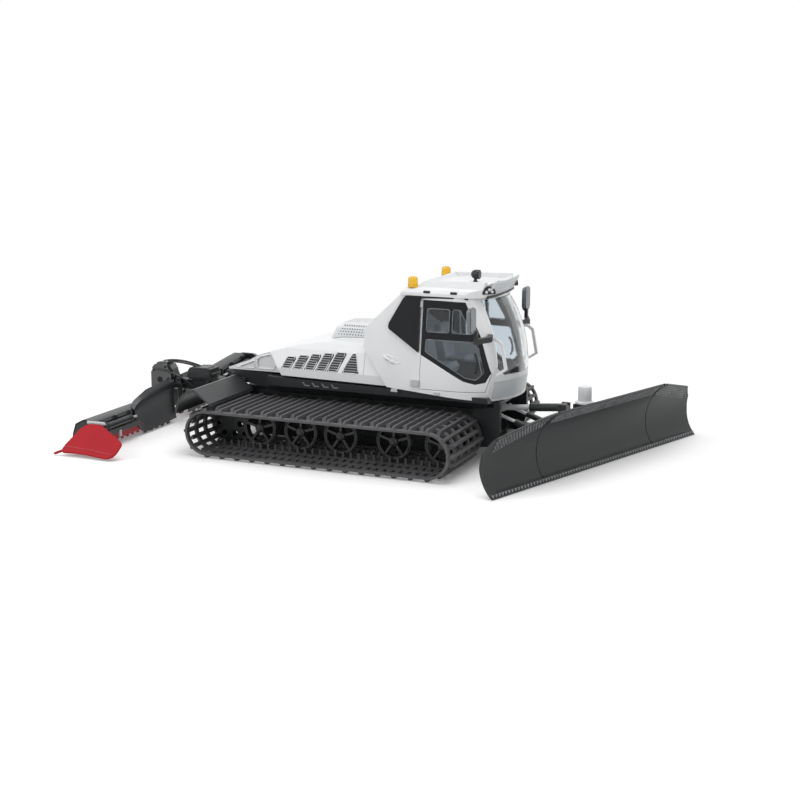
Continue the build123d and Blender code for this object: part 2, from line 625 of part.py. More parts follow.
with BuildPart() as swivel_head:
    with BuildSketch(blade_side.offset(-9)):
        Polygon((-7, 52.2), (24, 52.2), (24, 56), (-7, 56), align=None)
        Polygon((-7, 11.8), (16, 11.8), (16, 17.8), (-7, 17.8), align=None)
        Polygon((7.0, 11.8), (16, 11.8), (30, 33), (30, 56), (7.0, 56), align=None)
    extrude(amount=18)
    with BuildSketch(blade_side.offset(-20)):
        with BuildLine():
            Polyline((60, 0), (60, 70), (blade_top, 70), back_top)
            TangentArc(back_hollow, back_top, tangent=(0, 1))
            TangentArc(back_hollow, back_bottom, tangent=(0, -1))
            Line(back_bottom, (60, 0))
        make_face()
    extrude(amount=40, mode=Mode.SUBTRACT)

with BuildPart() as swivel_knob:
    with Locations((post[0], post[1], 57.6)):
        Cylinder(10, 3.0)
    with Locations((post[0], post[1], 66)):
        Cylinder(6.4, 14)

# Outlines across the blade, distance along it and height
notch_w, notch_h = seam_notch
shoulder = blade_height - notch_h
middle_outline = ((-middle_half, 0), (-middle_half, shoulder), (-middle_half + notch_w, blade_height + 1.4),
                  (middle_half - notch_w, blade_height + 1.4), (middle_half, shoulder), (middle_half, 0))
wing_outline = ((wing_start, 0), (wing_end - 2, 0), (wing_end, 26), (wing_end - 1.5, 40), (wing_end - 12, 51.5),
                (wing_start - wing_lean, blade_height + 1.4), (wing_start, shoulder))

with BuildPart() as blade_middle:
    with BuildSketch(blade_side.offset(-middle_half)):
        add(mould_profile.sketch_local)
    extrude(amount=2 * middle_half)
    with BuildSketch(blade_face):
        Polygon(*middle_outline, align=None)
    extrude(amount=60, mode=Mode.INTERSECT)

wings = {}
for side, name in ((-1, "right"), (1, "left")):
    with BuildPart() as wing:
        with BuildSketch(blade_side.offset(-wing_end if side > 0 else wing_start - wing_lean)):
            add(mould_profile.sketch_local)
        extrude(amount=wing_end - wing_start + wing_lean)
        with BuildSketch(blade_face):
            Polygon(*[(side * y, z) for y, z in wing_outline], align=None)
        extrude(amount=60, mode=Mode.INTERSECT)
    wings[name] = wing.part

# Tiller carrier: a fork on the hull's pivot, a forked arm and the upright pin that the head swings on
with BuildPart() as tiller_carrier:
    with BuildSketch(Plane.XZ):
        Polygon((-162, 29), (-162, 39), (-196, 51), (-216, 51), (-216, 47.8), (-203, 47.8), (-203, 35.2),
                (-216, 35.2), (-216, 32), (-198, 32), align=None)
    extrude(amount=6, both=True)
    for side in (-1, 1):
        with Locations((-168.3, side * 20, tiller_pivot[1])):
            Box(25.4, 6, 9)
        with Locations(Location((tiller_pivot[0], side * 20, tiller_pivot[1]), (90, 0, 0))):
            Cylinder(pivot_r + pin_gap, 8, mode=Mode.SUBTRACT)
    with Locations((-182, 0, 38)):
        Box(6, 46, 9)
    with Locations((head_pin[0], 0, head_pin[1])):
        Cylinder(head_pin_r, 19)

# Head of the tiller: an eye on the upright pin, a beam, the arched bracket and the pins of both halves
with BuildPart() as tiller_bracket:
    with Locations((head_pin[0], 0, head_pin[1])):
        Cylinder(5.2, 11.6)
    with Locations((-228, 0, head_pin[1])):
        Box(36, 9, 10)
    with Locations((-223.2, 0, 52.8)):
        Box(9.6, 9, 13.4)
    with Locations((-215, 0, 56.2)):
        Box(26, 18, 8)
    with Locations((head_pin[0], 0, head_pin[1])):
        Cylinder(head_pin_r + pin_gap, 12, mode=Mode.SUBTRACT)
    with BuildSketch(Plane.XZ):
        Polygon((-246, 36.5), (-270, 30), (-278.1, 31), (-277.5, 55), (-271, 62), (-256, 63.5), (-246, 47), align=None)
        Polygon((-272, 45), (-271, 54), (-258, 57), (-250, 47.5), (-254, 43), align=None, mode=Mode.SUBTRACT)
    extrude(amount=3.5, both=True)
    with Locations((-241.5, 0, half_hinge[1])):
        Box(10, 20, 4)
    for side in (-1, 1):
        with Locations(Location((-245, side * half_hinge[0], half_hinge[1]), (0, 90, 0))):
            Cylinder(1.3, 14)

with BuildPart() as hitch_lugs:
    for side in (-1, 1):
        for inner in (-1, 1):
            with Locations((-159, side * (20 + inner * 5.2), 36)):
                Box(14, 3.0, 14)
        with Locations(Location((tiller_pivot[0], side * 20, tiller_pivot[1]), (90, 0, 0))):
            Cylinder(pivot_r, 12)

# Right half of the tiller; the left one is its mirror image, a little raised
y_in, y_out = -half_ends[0], -half_ends[1]
with BuildPart() as cover:
    with BuildSketch(Plane((0, y_in, 0), x_dir=(1, 0, 0), z_dir=(0, -1, 0))):
        Polygon((-247, 6), (-247, 33), (-252, 38), (-265, 36), (-275.6, 27), (-278.1, 8), (-276.2, 8), (-273.8, 26),
                (-264, 34), (-252.6, 36), (-249, 32), (-249, 6), align=None)
    extrude(amount=y_in - y_out)
    for y in (y_in, y_out + 2.0):
        with BuildSketch(Plane((0, y, 0), x_dir=(1, 0, 0), z_dir=(0, -1, 0))):
            Polygon((-247, 10), (-247, 33), (-252, 38), (-265, 36), (-275.6, 27), (-277.6, 12), align=None)
            with Locations(rotor_axis):
                Circle(3.4, mode=Mode.SUBTRACT)
        extrude(amount=2.0)
    with BuildSketch(Plane.YZ.offset(-249)):
        with BuildLine():
            points = [(y_in, 47), (-78, 36), (-78, 6)]
            for k in range(9):
                points += [(-77 + k * 7.4, 0.6), (-72.5 + k * 7.4, 0.6), (-71.5 + k * 7.4, 4.0)]
            Polyline(*points, (y_in, 6), close=True)
        make_face()
        with Locations((-half_hinge[0], half_hinge[1])):
            Circle(3.6)
            Circle(1.7, mode=Mode.SUBTRACT)
    extrude(amount=2.0)
    with Locations(Location((-246.5, -flap_hinge[0], flap_hinge[1]), (0, 90, 0))):
        Cylinder(1.3, 19)
    for x in (-254, -239):
        with Locations((x, -(flap_hinge[0] + half_ends[1]) / 2, flap_hinge[1])):
            Box(3, flap_hinge[0] - half_ends[1], 2.6)
    with Locations((-240, -115, 28.5)):
        Box(9, 70, 9)
    for y in (-84, -115, -146):
        with Locations((-247, y, 28.5)):
            Box(8, 3, 9)

with BuildPart() as rotor:
    with Locations(Location((rotor_axis[0], (y_in + y_out) / 2, rotor_axis[1]), (90, 0, 0))):
        Cylinder(5.5, y_in - y_out - 6)
        Cylinder(3.0, y_in - y_out - 0.6)
    for k in range(12):
        with Locations(Location((rotor_axis[0], y_in - 9 - k * 10.9, rotor_axis[1]), (90, 0, 0))):
            with PolarLocations(8.5, 4, start_angle=k * 30):
                Box(rotor_tip - 4.5, 2.6, 3.0)

with BuildPart() as flap:
    with BuildSketch(Plane((0, -flap_hinge[0], flap_hinge[1]), x_dir=(1, 0, 0), z_dir=(0, -1, 1))):
        Polygon((-256, -3), (-245, -2.2), (-237, -3), (-212, -19), (-218, -40.2), (-271, -40.2), (-270, -21), align=None)
    extrude(amount=2.0)

halves = {}
for side, name, raise_deg, drop in ((-1, "right", 0.0, 0.0), (1, "left", left_raise, left_flap_drop)):
    for piece, form in (("cover", cover), ("rotor", rotor), ("flap", flap)):
        shape = form.part
        if side > 0:
            shape = mirror(shape, about=Plane.XZ)
            if piece == "flap":
                shape = shape.rotate(Axis((0, flap_hinge[0], flap_hinge[1]), (1, 0, 0)), -drop)
            shape = shape.rotate(Axis((0, half_hinge[0], half_hinge[1]), (1, 0, 0)), raise_deg)
        halves[piece + "_" + name] = shape

exports = {"track_right": track_right.part, "track_left": track_left.part, "road_wheels": road_wheels.part,
           "sprockets": sprockets.part, "hull_tub": hull_tub.part, "body_tray": body_tray.part,
           "rear_fenders": rear_fenders.part, "front_mount": front_mount.part, "cab_shell": cab_shell.part,
           "windscreen": windscreen.part, "quarter_panels": quarter_panels.part, "nose_panel": nose_panel.part,
           "cab_roof": cab_roof.part, "roof_lip": roof_lip.part, "roof_lamps": roof_lamps.part,
           "lamp_lenses": lamp_lenses.part, "hood": hood.part, "hood_louvres": hood_louvres.part,
           "intake_hump": intake_hump.part, "tail_deck": tail_deck.part, "seats": seats.part,
           "dashboard": dashboard.part, "beacons": beacons.part, "searchlight": searchlight.part,
           "mirror_arms": mirror_arms.part, "mirrors": mirrors.part, "grab_bars": grab_bars.part,
           "door_hinges": door_hinges.part, "lift_frame": lift_frame.part, "lift_barrels": lift_barrels.part,
           "lift_rods": lift_rods.part, "upper_barrel": upper_barrel.part, "upper_rod": upper_rod.part,
           "swivel_head": swivel_head.part, "swivel_knob": swivel_knob.part, "blade_middle": blade_middle.part,
           "blade_wing_right": wings["right"], "blade_wing_left": wings["left"],
           "tiller_carrier": tiller_carrier.part, "tiller_bracket": tiller_bracket.part,
           "hitch_lugs": hitch_lugs.part}
for piece, shape in door_pieces.items():
    exports["door_" + piece + "_right"] = shape
    exports["door_" + piece + "_left"] = mirror(shape, about=Plane.XZ)
for name, shape in halves.items():
    exports["tiller_" + name] = shape

for name, shape in exports.items():
    shape.label = name
    export_step(shape, "parts/" + name + ".step")
    box = shape.bounding_box()
    print(f"{name:22s} solids {len(shape.solids())}  x {box.min.X:7.1f} {box.max.X:7.1f}"
          f"  y {box.min.Y:7.1f} {box.max.Y:7.1f}  z {box.min.Z:6.1f} {box.max.Z:6.1f}  volume {shape.volume:9.0f}")
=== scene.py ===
# %% [markdown]
# A toy snow groomer at 1:16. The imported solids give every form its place, and this lesson dresses them:
# moulded plastic finishes first, then the small pieces that repeat, then the thin trim of the cab.
# The solids are never moved, so each new piece is worked out from the frame's own boxes.

import json
import math

import bmesh
import bpy
from mathutils import Matrix, Vector


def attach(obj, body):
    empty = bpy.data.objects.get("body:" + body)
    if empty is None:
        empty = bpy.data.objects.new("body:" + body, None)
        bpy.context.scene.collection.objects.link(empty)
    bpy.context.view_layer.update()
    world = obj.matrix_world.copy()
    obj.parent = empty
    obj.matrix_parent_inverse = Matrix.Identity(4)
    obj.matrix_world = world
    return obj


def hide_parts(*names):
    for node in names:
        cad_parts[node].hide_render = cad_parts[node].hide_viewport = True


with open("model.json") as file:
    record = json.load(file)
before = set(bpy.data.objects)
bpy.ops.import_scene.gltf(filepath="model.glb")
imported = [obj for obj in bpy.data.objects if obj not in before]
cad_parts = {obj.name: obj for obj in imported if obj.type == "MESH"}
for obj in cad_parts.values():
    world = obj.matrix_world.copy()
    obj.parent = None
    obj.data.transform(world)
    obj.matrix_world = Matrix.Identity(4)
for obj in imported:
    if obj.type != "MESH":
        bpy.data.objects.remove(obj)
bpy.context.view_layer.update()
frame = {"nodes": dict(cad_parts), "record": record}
nodes = frame["nodes"]
mm = 0.001

# %% [markdown]
# The camera stands in front of the toy's right side, a little above it. Its place is worked out from two
# angles and a distance, as a photographer would note them, and a small shift sets the picture's centre.

# %% Camera
azimuth, elevation = math.radians(22.95), math.radians(12.32)
distance, focal_length, film_width = 1.3997, 62.87, 36.0
target = Vector((11.97, 0.0, 39.56)) * mm
back = Vector((math.sin(azimuth) * math.cos(elevation), -math.cos(azimuth) * math.cos(elevation),
               math.sin(elevation)))
camera_data = bpy.data.cameras.new("studio_camera")
camera_data.lens, camera_data.sensor_width = focal_length, film_width
camera_data.shift_x, camera_data.shift_y = -0.0015, 0.0049
camera_data.clip_start, camera_data.clip_end = 0.01, 50.0
camera = bpy.data.objects.new("studio_camera", camera_data)
bpy.context.scene.collection.objects.link(camera)
camera.location = target + back * distance
camera.rotation_euler = (-back).to_track_quat("-Z", "Y").to_euler()
bpy.context.scene.camera = camera
print("camera at", tuple(round(v, 3) for v in camera.location))

# %% [markdown]
# A product studio is a white sweep under large soft lamps. A picture of a sky could light the toy too, but then
# its brightness couldn't be set apart from its look. So the world has two strengths: white for the camera and for
# shiny or clear pieces, and a plain level for the light that falls on the toy.

# %% World
def new_material(name):
    """An empty node material and its output."""
    made = bpy.data.materials.new(name)
    made.use_nodes = True
    made.node_tree.nodes.clear()
    return made, made.node_tree.nodes.new("ShaderNodeOutputMaterial")


def add_node(tree, kind, **settings):
    """A node in the tree, with its plain settings."""
    made = tree.nodes.new(kind)
    for key, value in settings.items():
        setattr(made, key, value)
    return made


def joined(tree, operation, first, second):
    """A maths node on two outputs of the tree."""
    made = add_node(tree, "ShaderNodeMath", operation=operation)
    tree.links.new(first, made.inputs[0])
    tree.links.new(second, made.inputs[1])
    return made.outputs[0]


def ramp(tree, source, low, high):
    """Turns a value into 0 below low, 1 above high and an even rise between them."""
    made = add_node(tree, "ShaderNodeMapRange")
    made.inputs["From Min"].default_value, made.inputs["From Max"].default_value = low, high
    tree.links.new(source, made.inputs["Value"])
    return made.outputs[0]


def sees_backdrop(tree):
    """1 for the rays that look straight, by reflection or through glass, and 0 for the light's own."""
    path = add_node(tree, "ShaderNodeLightPath").outputs
    shiny = joined(tree, "MAXIMUM", path["Is Camera Ray"], path["Is Glossy Ray"])
    return joined(tree, "MAXIMUM", shiny, path["Is Transmission Ray"])


plain_white = (1.0, 1.0, 1.0, 1.0)
fill_strength, seen_strength = 0.42, 1.0
world = bpy.data.worlds.new("studio_world")
bpy.context.scene.world = world
world.use_nodes = True
world_tree = world.node_tree
world_tree.nodes.clear()
choose = add_node(world_tree, "ShaderNodeMixShader")
world_tree.links.new(sees_backdrop(world_tree), choose.inputs[0])
for socket, strength in enumerate((fill_strength, seen_strength), 1):
    sky = add_node(world_tree, "ShaderNodeBackground")
    sky.inputs["Color"].default_value = plain_white
    sky.inputs["Strength"].default_value = strength
    world_tree.links.new(sky.outputs[0], choose.inputs[socket])
world_tree.links.new(choose.outputs[0], add_node(world_tree, "ShaderNodeOutputWorld").inputs["Surface"])
print("world nodes", len(world_tree.nodes))

# %% [markdown]
# The floor is the same white paper. It has to keep the toy's shadow and still vanish further out, so it glows
# a little from a short way off, and from 0.4 m it fades into plain white. Only rays that look at it see that.
# Within 0.08 m of the middle it doesn't glow at all, so the floor under the toy is darker: a painted shadow.

# %% Floor
floor_mesh = bpy.data.meshes.new("studio_floor")
reach = 8.0
floor_mesh.from_pydata([(-reach, -reach, 0), (reach, -reach, 0), (reach, reach, 0), (-reach, reach, 0)], [],
                       [(0, 1, 2, 3)])
floor = bpy.data.objects.new("studio_floor", floor_mesh)
bpy.context.scene.collection.objects.link(floor)
floor_material, floor_out = new_material("studio_floor")
tree = floor_material.node_tree
link = tree.links.new
paper = add_node(tree, "ShaderNodeBsdfDiffuse")
paper.inputs["Color"].default_value = (0.86, 0.86, 0.86, 1.0)
spot = add_node(tree, "ShaderNodeTexCoord")
away = add_node(tree, "ShaderNodeVectorMath", operation="LENGTH")
link(spot.outputs["Object"], away.inputs[0])
# No glow within 0.08 m of the middle: painted shadow under the toy.
glow_share_past_painted_shadow = joined(tree, "MULTIPLY", sees_backdrop(tree), ramp(tree, away.outputs["Value"], 0.08, 0.22))
far_seen = joined(tree, "MULTIPLY", ramp(tree, away.outputs["Value"], 0.4, 1.0), sees_backdrop(tree))
glow_strength = add_node(tree, "ShaderNodeMath", operation="MULTIPLY")
glow_strength.inputs[1].default_value = 0.2
glow = add_node(tree, "ShaderNodeEmission")
glow.inputs["Color"].default_value = plain_white
glowing_paper = add_node(tree, "ShaderNodeAddShader")
white = add_node(tree, "ShaderNodeEmission")
sweep = add_node(tree, "ShaderNodeMixShader")
link(glow_share_past_painted_shadow, glow_strength.inputs[0])
link(glow_strength.outputs[0], glow.inputs["Strength"])
link(paper.outputs[0], glowing_paper.inputs[0])
link(glow.outputs[0], glowing_paper.inputs[1])
link(far_seen, sweep.inputs[0])
link(glowing_paper.outputs[0], sweep.inputs[1])
link(white.outputs[0], sweep.inputs[2])
link(sweep.outputs[0], floor_out.inputs["Surface"])
floor_mesh.materials.append(floor_material)
print("floor reaches", reach, "m")

# %% [markdown]
# Three square lamps do the rest. A large one gives soft shadows, and what is near the toy gives them a shape.

# %% Lamps

def softbox(name, place, aim, size, power):
    """A square area lamp at a place in metres, turned to aim."""
    data = bpy.data.lights.new(name, "AREA")
    data.shape, data.size, data.energy = "SQUARE", size, power
    lamp = bpy.data.objects.new(name, data)
    bpy.context.scene.collection.objects.link(lamp)
    lamp.location = place
    lamp.rotation_euler = (Vector(aim) - Vector(place)).to_track_quat("-Z", "Y").to_euler()
    return lamp


softbox("top_softbox", (0.1, 0.1, 1.9), (0, 0, 0), 1.5, 22.0)
softbox("left_softbox", (-1.3, -1.5, 1.1), (0, 0, 0.06), 1.2, 14.5)
softbox("front_softbox", (1.7, -0.9, 0.8), (0, 0, 0.05), 1.0, 5.0)
bpy.context.scene.view_settings.view_transform = "Standard"

# %% [markdown]
# Moulded plastic is never one flat colour. Its edges rub pale, and the paler colour on every edge is also a
# painted highlight where edges catch light. Dust lies on what faces up, and the mould leaves a fine grain. These
# three effects are in every finish here, so they are one shader group with named inputs. A bevel node finds the
# edges: where its rounded normal leaves the true one, the surface turns. The group gives back only a colour, a
# roughness and a height.

# %% The sockets of the moulded surface
def group_socket(group, name, kind, way, value=None):
    """A named input or output of a node group."""
    made = group.interface.new_socket(name=name, in_out=way, socket_type=kind)
    if value is not None:
        made.default_value = value


moulding = bpy.data.node_groups.new("moulded_surface", "ShaderNodeTree")
for name, value in (("Colour", (0.5, 0.5, 0.5, 1)), ("Shade Colour", (0.4, 0.4, 0.4, 1)),
                    ("Edge Colour", (0.8, 0.8, 0.8, 1))):
    group_socket(moulding, name, "NodeSocketColor", "INPUT", value)
for name, value in (("Edge Amount", 0.4), ("Dust Amount", 0.1), ("Cloud Scale", 18.0), ("Grain Scale", 900.0),
                    ("Roughness", 0.4), ("Roughness Spread", 0.1)):
    group_socket(moulding, name, "NodeSocketFloat", "INPUT", value)
group_socket(moulding, "Colour", "NodeSocketColor", "OUTPUT")
for name in ("Roughness", "Height"):
    group_socket(moulding, name, "NodeSocketFloat", "OUTPUT")

print("sockets", len(moulding.interface.items_tree))

# %% The shared effect of moulded plastic
given = add_node(moulding, "NodeGroupInput")
result = add_node(moulding, "NodeGroupOutput")
place = add_node(moulding, "ShaderNodeTexCoord")
clouds = add_node(moulding, "ShaderNodeTexNoise")
clouds.inputs["Detail"].default_value = 5.0
grain = add_node(moulding, "ShaderNodeTexNoise")
grain.inputs["Detail"].default_value = 2.0
scuffs = add_node(moulding, "ShaderNodeTexNoise")
scuffs.inputs["Scale"].default_value = 160.0
scuffs.inputs["Detail"].default_value = 4.0
link = moulding.links.new
for texture in (clouds, grain, scuffs):
    link(place.outputs["Object"], texture.inputs["Vector"])
link(given.outputs["Cloud Scale"], clouds.inputs["Scale"])
link(given.outputs["Grain Scale"], grain.inputs["Scale"])

shade = add_node(moulding, "ShaderNodeMix", data_type="RGBA")
link(ramp(moulding, clouds.outputs["Fac"], 0.35, 0.65), shade.inputs["Factor"])
link(given.outputs["Colour"], shade.inputs["A"])
link(given.outputs["Shade Colour"], shade.inputs["B"])

rounded = add_node(moulding, "ShaderNodeBevel", samples=4)
rounded.inputs["Radius"].default_value = 0.7 * mm
flat = add_node(moulding, "ShaderNodeNewGeometry")
turn = add_node(moulding, "ShaderNodeVectorMath", operation="DOT_PRODUCT")
link(rounded.outputs[0], turn.inputs[0])
link(flat.outputs["Normal"], turn.inputs[1])
edge = ramp(moulding, turn.outputs["Value"], 0.985, 0.86)
broken_edge = joined(moulding, "MULTIPLY", edge, ramp(moulding, scuffs.outputs["Fac"], 0.38, 0.6))
edge_share = joined(moulding, "MULTIPLY", broken_edge, given.outputs["Edge Amount"])
# Paler edges: partly rubbed wear, partly a painted highlight.
edge_wear_and_painted_highlight = add_node(moulding, "ShaderNodeMix", data_type="RGBA")
link(edge_share, edge_wear_and_painted_highlight.inputs["Factor"])
link(shade.outputs["Result"], edge_wear_and_painted_highlight.inputs["A"])
link(given.outputs["Edge Colour"], edge_wear_and_painted_highlight.inputs["B"])

upward = add_node(moulding, "ShaderNodeSeparateXYZ")
link(flat.outputs["Normal"], upward.inputs[0])
patchy = joined(moulding, "MULTIPLY", ramp(moulding, upward.outputs["Z"], 0.4, 1.0), clouds.outputs["Fac"])
dust_share = joined(moulding, "MULTIPLY", patchy, given.outputs["Dust Amount"])
dusty = add_node(moulding, "ShaderNodeMix", data_type="RGBA")
dusty.inputs["B"].default_value = (0.62, 0.62, 0.6, 1.0)
link(dust_share, dusty.inputs["Factor"])
link(edge_wear_and_painted_highlight.outputs["Result"], dusty.inputs["A"])
link(dusty.outputs["Result"], result.inputs["Colour"])

rough_offset = add_node(moulding, "ShaderNodeMath", operation="SUBTRACT")
rough_offset.inputs[1].default_value = 0.5
link(clouds.outputs["Fac"], rough_offset.inputs[0])
rough_total = add_node(moulding, "ShaderNodeMath", operation="MULTIPLY_ADD", use_clamp=True)
link(rough_offset.outputs[0], rough_total.inputs[0])
link(given.outputs["Roughness Spread"], rough_total.inputs[1])
link(given.outputs["Roughness"], rough_total.inputs[2])
link(rough_total.outputs[0], result.inputs["Roughness"])
link(grain.outputs["Fac"], result.inputs["Height"])
print("group nodes", len(moulding.nodes))

# %% [markdown]
# Each plastic is that group with its own colours, in front of a Principled shader. The white shell is
# glossy with a clear coat, the black pieces are finely grained, and the tracks are softer and duller.

# %% Plastics
def plastic(name, colour, shade_colour, edge_colour, edge_amount=0.4, dust=0.08, roughness=0.4, spread=0.15,
            bump=0.1, coat=0.0, ior=1.5):
    """A moulded plastic: the shared surface group in front of a Principled shader."""
    made, out = new_material(name)
    tree = made.node_tree
    surface = add_node(tree, "ShaderNodeGroup", node_tree=moulding)
    for socket, value in (("Colour", (*colour, 1)), ("Shade Colour", (*shade_colour, 1)),
                          ("Edge Colour", (*edge_colour, 1)), ("Edge Amount", edge_amount), ("Dust Amount", dust),
                          ("Roughness", roughness), ("Roughness Spread", spread)):
        surface.inputs[socket].default_value = value
    bump_node = add_node(tree, "ShaderNodeBump")
    bump_node.inputs["Strength"].default_value = bump
    bump_node.inputs["Distance"].default_value = 0.2 * mm
    shader = add_node(tree, "ShaderNodeBsdfPrincipled")
    shader.inputs["Coat Weight"].default_value = coat
    shader.inputs["Coat Roughness"].default_value = 0.12
    shader.inputs["IOR"].default_value = ior
    tree.links.new(surface.outputs["Colour"], shader.inputs["Base Color"])
    tree.links.new(surface.outputs["Roughness"], shader.inputs["Roughness"])
    tree.links.new(surface.outputs["Height"], bump_node.inputs["Height"])
    tree.links.new(bump_node.outputs["Normal"], shader.inputs["Normal"])
    tree.links.new(shader.outputs[0], out.inputs["Surface"])
    return made


plastics = {
    "white_shell": ((0.80, 0.81, 0.82), (0.76, 0.775, 0.79), (0.9, 0.9, 0.9),
                    dict(edge_amount=0.35, dust=0.05, roughness=0.32, spread=0.1, bump=0.03, coat=0.25)),
    "grey_shell": ((0.60, 0.63, 0.65), (0.55, 0.585, 0.61), (0.78, 0.79, 0.8),
                   dict(dust=0.06, roughness=0.36, bump=0.05, coat=0.1)),
    "black_plastic": ((0.0095, 0.0118, 0.0125), (0.0145, 0.018, 0.019), (0.12, 0.12, 0.125),
                      dict(edge_amount=0.5, dust=0.02, roughness=0.36, bump=0.16, ior=1.42)),
    "dark_grey_plastic": ((0.02, 0.0215, 0.0235), (0.029, 0.031, 0.034), (0.16, 0.16, 0.17),
                          dict(edge_amount=0.5, dust=0.03, roughness=0.33, bump=0.12, ior=1.45)),
    "track_plastic": ((0.052, 0.05, 0.054), (0.07, 0.067, 0.072), (0.22, 0.215, 0.225),
                      dict(edge_amount=0.5, dust=0.05, roughness=0.55, bump=0.3)),
    "wheel_grey": ((0.018, 0.0185, 0.02), (0.026, 0.0265, 0.029), (0.16, 0.16, 0.16),
                   dict(edge_amount=0.45, dust=0.02, roughness=0.45, bump=0.18)),
    "red_plastic": ((0.4, 0.004, 0.012), (0.34, 0.003, 0.009), (0.7, 0.12, 0.13),
                    dict(edge_amount=0.35, dust=0.0, roughness=0.36, bump=0.08, coat=0.05, ior=1.34)),
    "silver_plastic": ((0.5, 0.51, 0.52), (0.44, 0.45, 0.46), (0.75, 0.75, 0.76),
                       dict(edge_amount=0.5, dust=0.05, roughness=0.3, bump=0.08, coat=0.2)),
    "seat_plastic": ((0.45, 0.47, 0.49), (0.4, 0.42, 0.44), (0.6, 0.62, 0.63),
                     dict(edge_amount=0.3, dust=0.08, roughness=0.55, bump=0.2)),
    "black_gloss": ((0.008, 0.009, 0.011), (0.012, 0.013, 0.016), (0.1, 0.1, 0.11),
                    dict(dust=0.0, roughness=0.2, bump=0.04, ior=1.3)),
    "pale_grille": ((0.8, 0.81, 0.82), (0.75, 0.765, 0.775), (0.88, 0.88, 0.89),
                    dict(dust=0.04, roughness=0.4, bump=0.06)),
    "casing_gloss": ((0.016, 0.018, 0.02), (0.022, 0.025, 0.028), (0.2, 0.205, 0.21),
                     dict(edge_amount=0.6, dust=0.0, roughness=0.24, bump=0.05, coat=0.9)),
    "mirror_shell": ((0.17, 0.185, 0.195), (0.14, 0.155, 0.165), (0.4, 0.41, 0.42),
                     dict(edge_amount=0.6, dust=0.03, roughness=0.3, bump=0.05, coat=0.2)),
    # painted_sheen is black plastic coloured pale grey: a painted sheen for small raised parts that catch light.
    "painted_sheen": ((0.3, 0.315, 0.32), (0.22, 0.235, 0.24), (0.6, 0.61, 0.62),
                   dict(edge_amount=0.7, dust=0.0, roughness=0.28, bump=0.05)),
}
finishes = {name: plastic(name, *colours, **settings) for name, (*colours, settings) in plastics.items()}
print("plastics", len(finishes))

# %% [markdown]
# Clear sheet is a thin moulding here, so it transmits light with little tint and keeps a sharp gloss. The
# amber caps are the same shader with a deep colour. A faint cloud in the roughness keeps them from looking
# like empty holes.

# %% Clear and tinted sheet
def clear_sheet(name, colour, shade_colour, roughness, transmission=1.0):
    """A transparent plastic with a slight cloud in its colour and its gloss."""
    made, out = new_material(name)
    tree = made.node_tree
    place = add_node(tree, "ShaderNodeTexCoord")
    cloud = add_node(tree, "ShaderNodeTexNoise")
    cloud.inputs["Scale"].default_value = 40.0
    tint = add_node(tree, "ShaderNodeMix", data_type="RGBA")
    tint.inputs["A"].default_value = (*colour, 1)
    tint.inputs["B"].default_value = (*shade_colour, 1)
    gloss = add_node(tree, "ShaderNodeMapRange")
    gloss.inputs["To Min"].default_value, gloss.inputs["To Max"].default_value = roughness, roughness + 0.05
    ripple = add_node(tree, "ShaderNodeBump")
    ripple.inputs["Strength"].default_value = 0.03
    ripple.inputs["Distance"].default_value = 0.2 * mm
    shader = add_node(tree, "ShaderNodeBsdfPrincipled")
    shader.inputs["Transmission Weight"].default_value = transmission
    shader.inputs["IOR"].default_value = 1.45
    tree.links.new(place.outputs["Object"], cloud.inputs["Vector"])
    tree.links.new(cloud.outputs["Fac"], tint.inputs["Factor"])
    tree.links.new(cloud.outputs["Fac"], gloss.inputs["Value"])
    tree.links.new(cloud.outputs["Fac"], ripple.inputs["Height"])
    tree.links.new(tint.outputs["Result"], shader.inputs["Base Color"])
    tree.links.new(gloss.outputs[0], shader.inputs["Roughness"])
    tree.links.new(ripple.outputs["Normal"], shader.inputs["Normal"])
    tree.links.new(shader.outputs[0], out.inputs["Surface"])
    return made


finishes["clear_glass"] = clear_sheet("clear_glass", (0.93, 0.945, 0.95), (0.9, 0.925, 0.935), 0.02)
finishes["blue_glass"] = clear_sheet("blue_glass", (0.6, 0.665, 0.725), (0.55, 0.62, 0.69), 0.02)
finishes["amber_lens"] = clear_sheet("amber_lens", (1.0, 0.66, 0.03), (0.97, 0.58, 0.02), 0.12, 0.6)

# %% [markdown]
# Every solid already has the record's slot name for its colour, so one loop hands each of them the finish
# of that name. A few nodes share a slot and still look different in the photo: the glossy black round the
# windows, the pale grille behind the cab and the white rods of the blade's cylinders get their own finish.

# %% Dress the solids
slot_of = {row["node"]: row["material_slot"] for row in frame["record"]["subparts"]}
special = {"quarter_panels": "black_gloss", "door_frame_right": "black_gloss", "door_frame_left": "black_gloss",
           "intake_hump": "pale_grille", "lift_rods": "pale_grille", "upper_rod": "pale_grille"}
for name, solid in nodes.items():
    for slot in solid.material_slots:
        slot.material = finishes[special.get(name, slot_of[name])]
print("dressed", len(slot_of))

# %% [markdown]
# Every new piece is finished in the same way, so these helpers come first. A plate is an outline given a depth
# and rounded edges, which is how moulded plastic looks: no real edge is sharp, and the rounding catches light.
# A turned piece is a row of rings with their own radii, for rods, caps, hoses and lamps.

# %% Helpers for plates, rods and finished pieces
def add_plate(work, outline, origin, across, up, depth, rounding=0.35):
    """Adds a plate to a bmesh: an outline in millimetres on two axes, its depth and its rounded edges."""
    across, up = Vector(across).normalized(), Vector(up).normalized()
    base = [work.verts.new((Vector(origin) + across * a + up * b) * mm) for a, b in outline]
    grown = bmesh.ops.extrude_face_region(work, geom=[work.faces.new(base)])
    top = [g for g in grown["geom"] if isinstance(g, bmesh.types.BMVert)]
    bmesh.ops.translate(work, verts=top, vec=across.cross(up) * depth * mm)
    edges = list({e for v in base + top for e in v.link_edges})
    if rounding:
        bmesh.ops.bevel(work, geom=edges, offset=rounding * mm, segments=2, affect="EDGES", clamp_overlap=True)


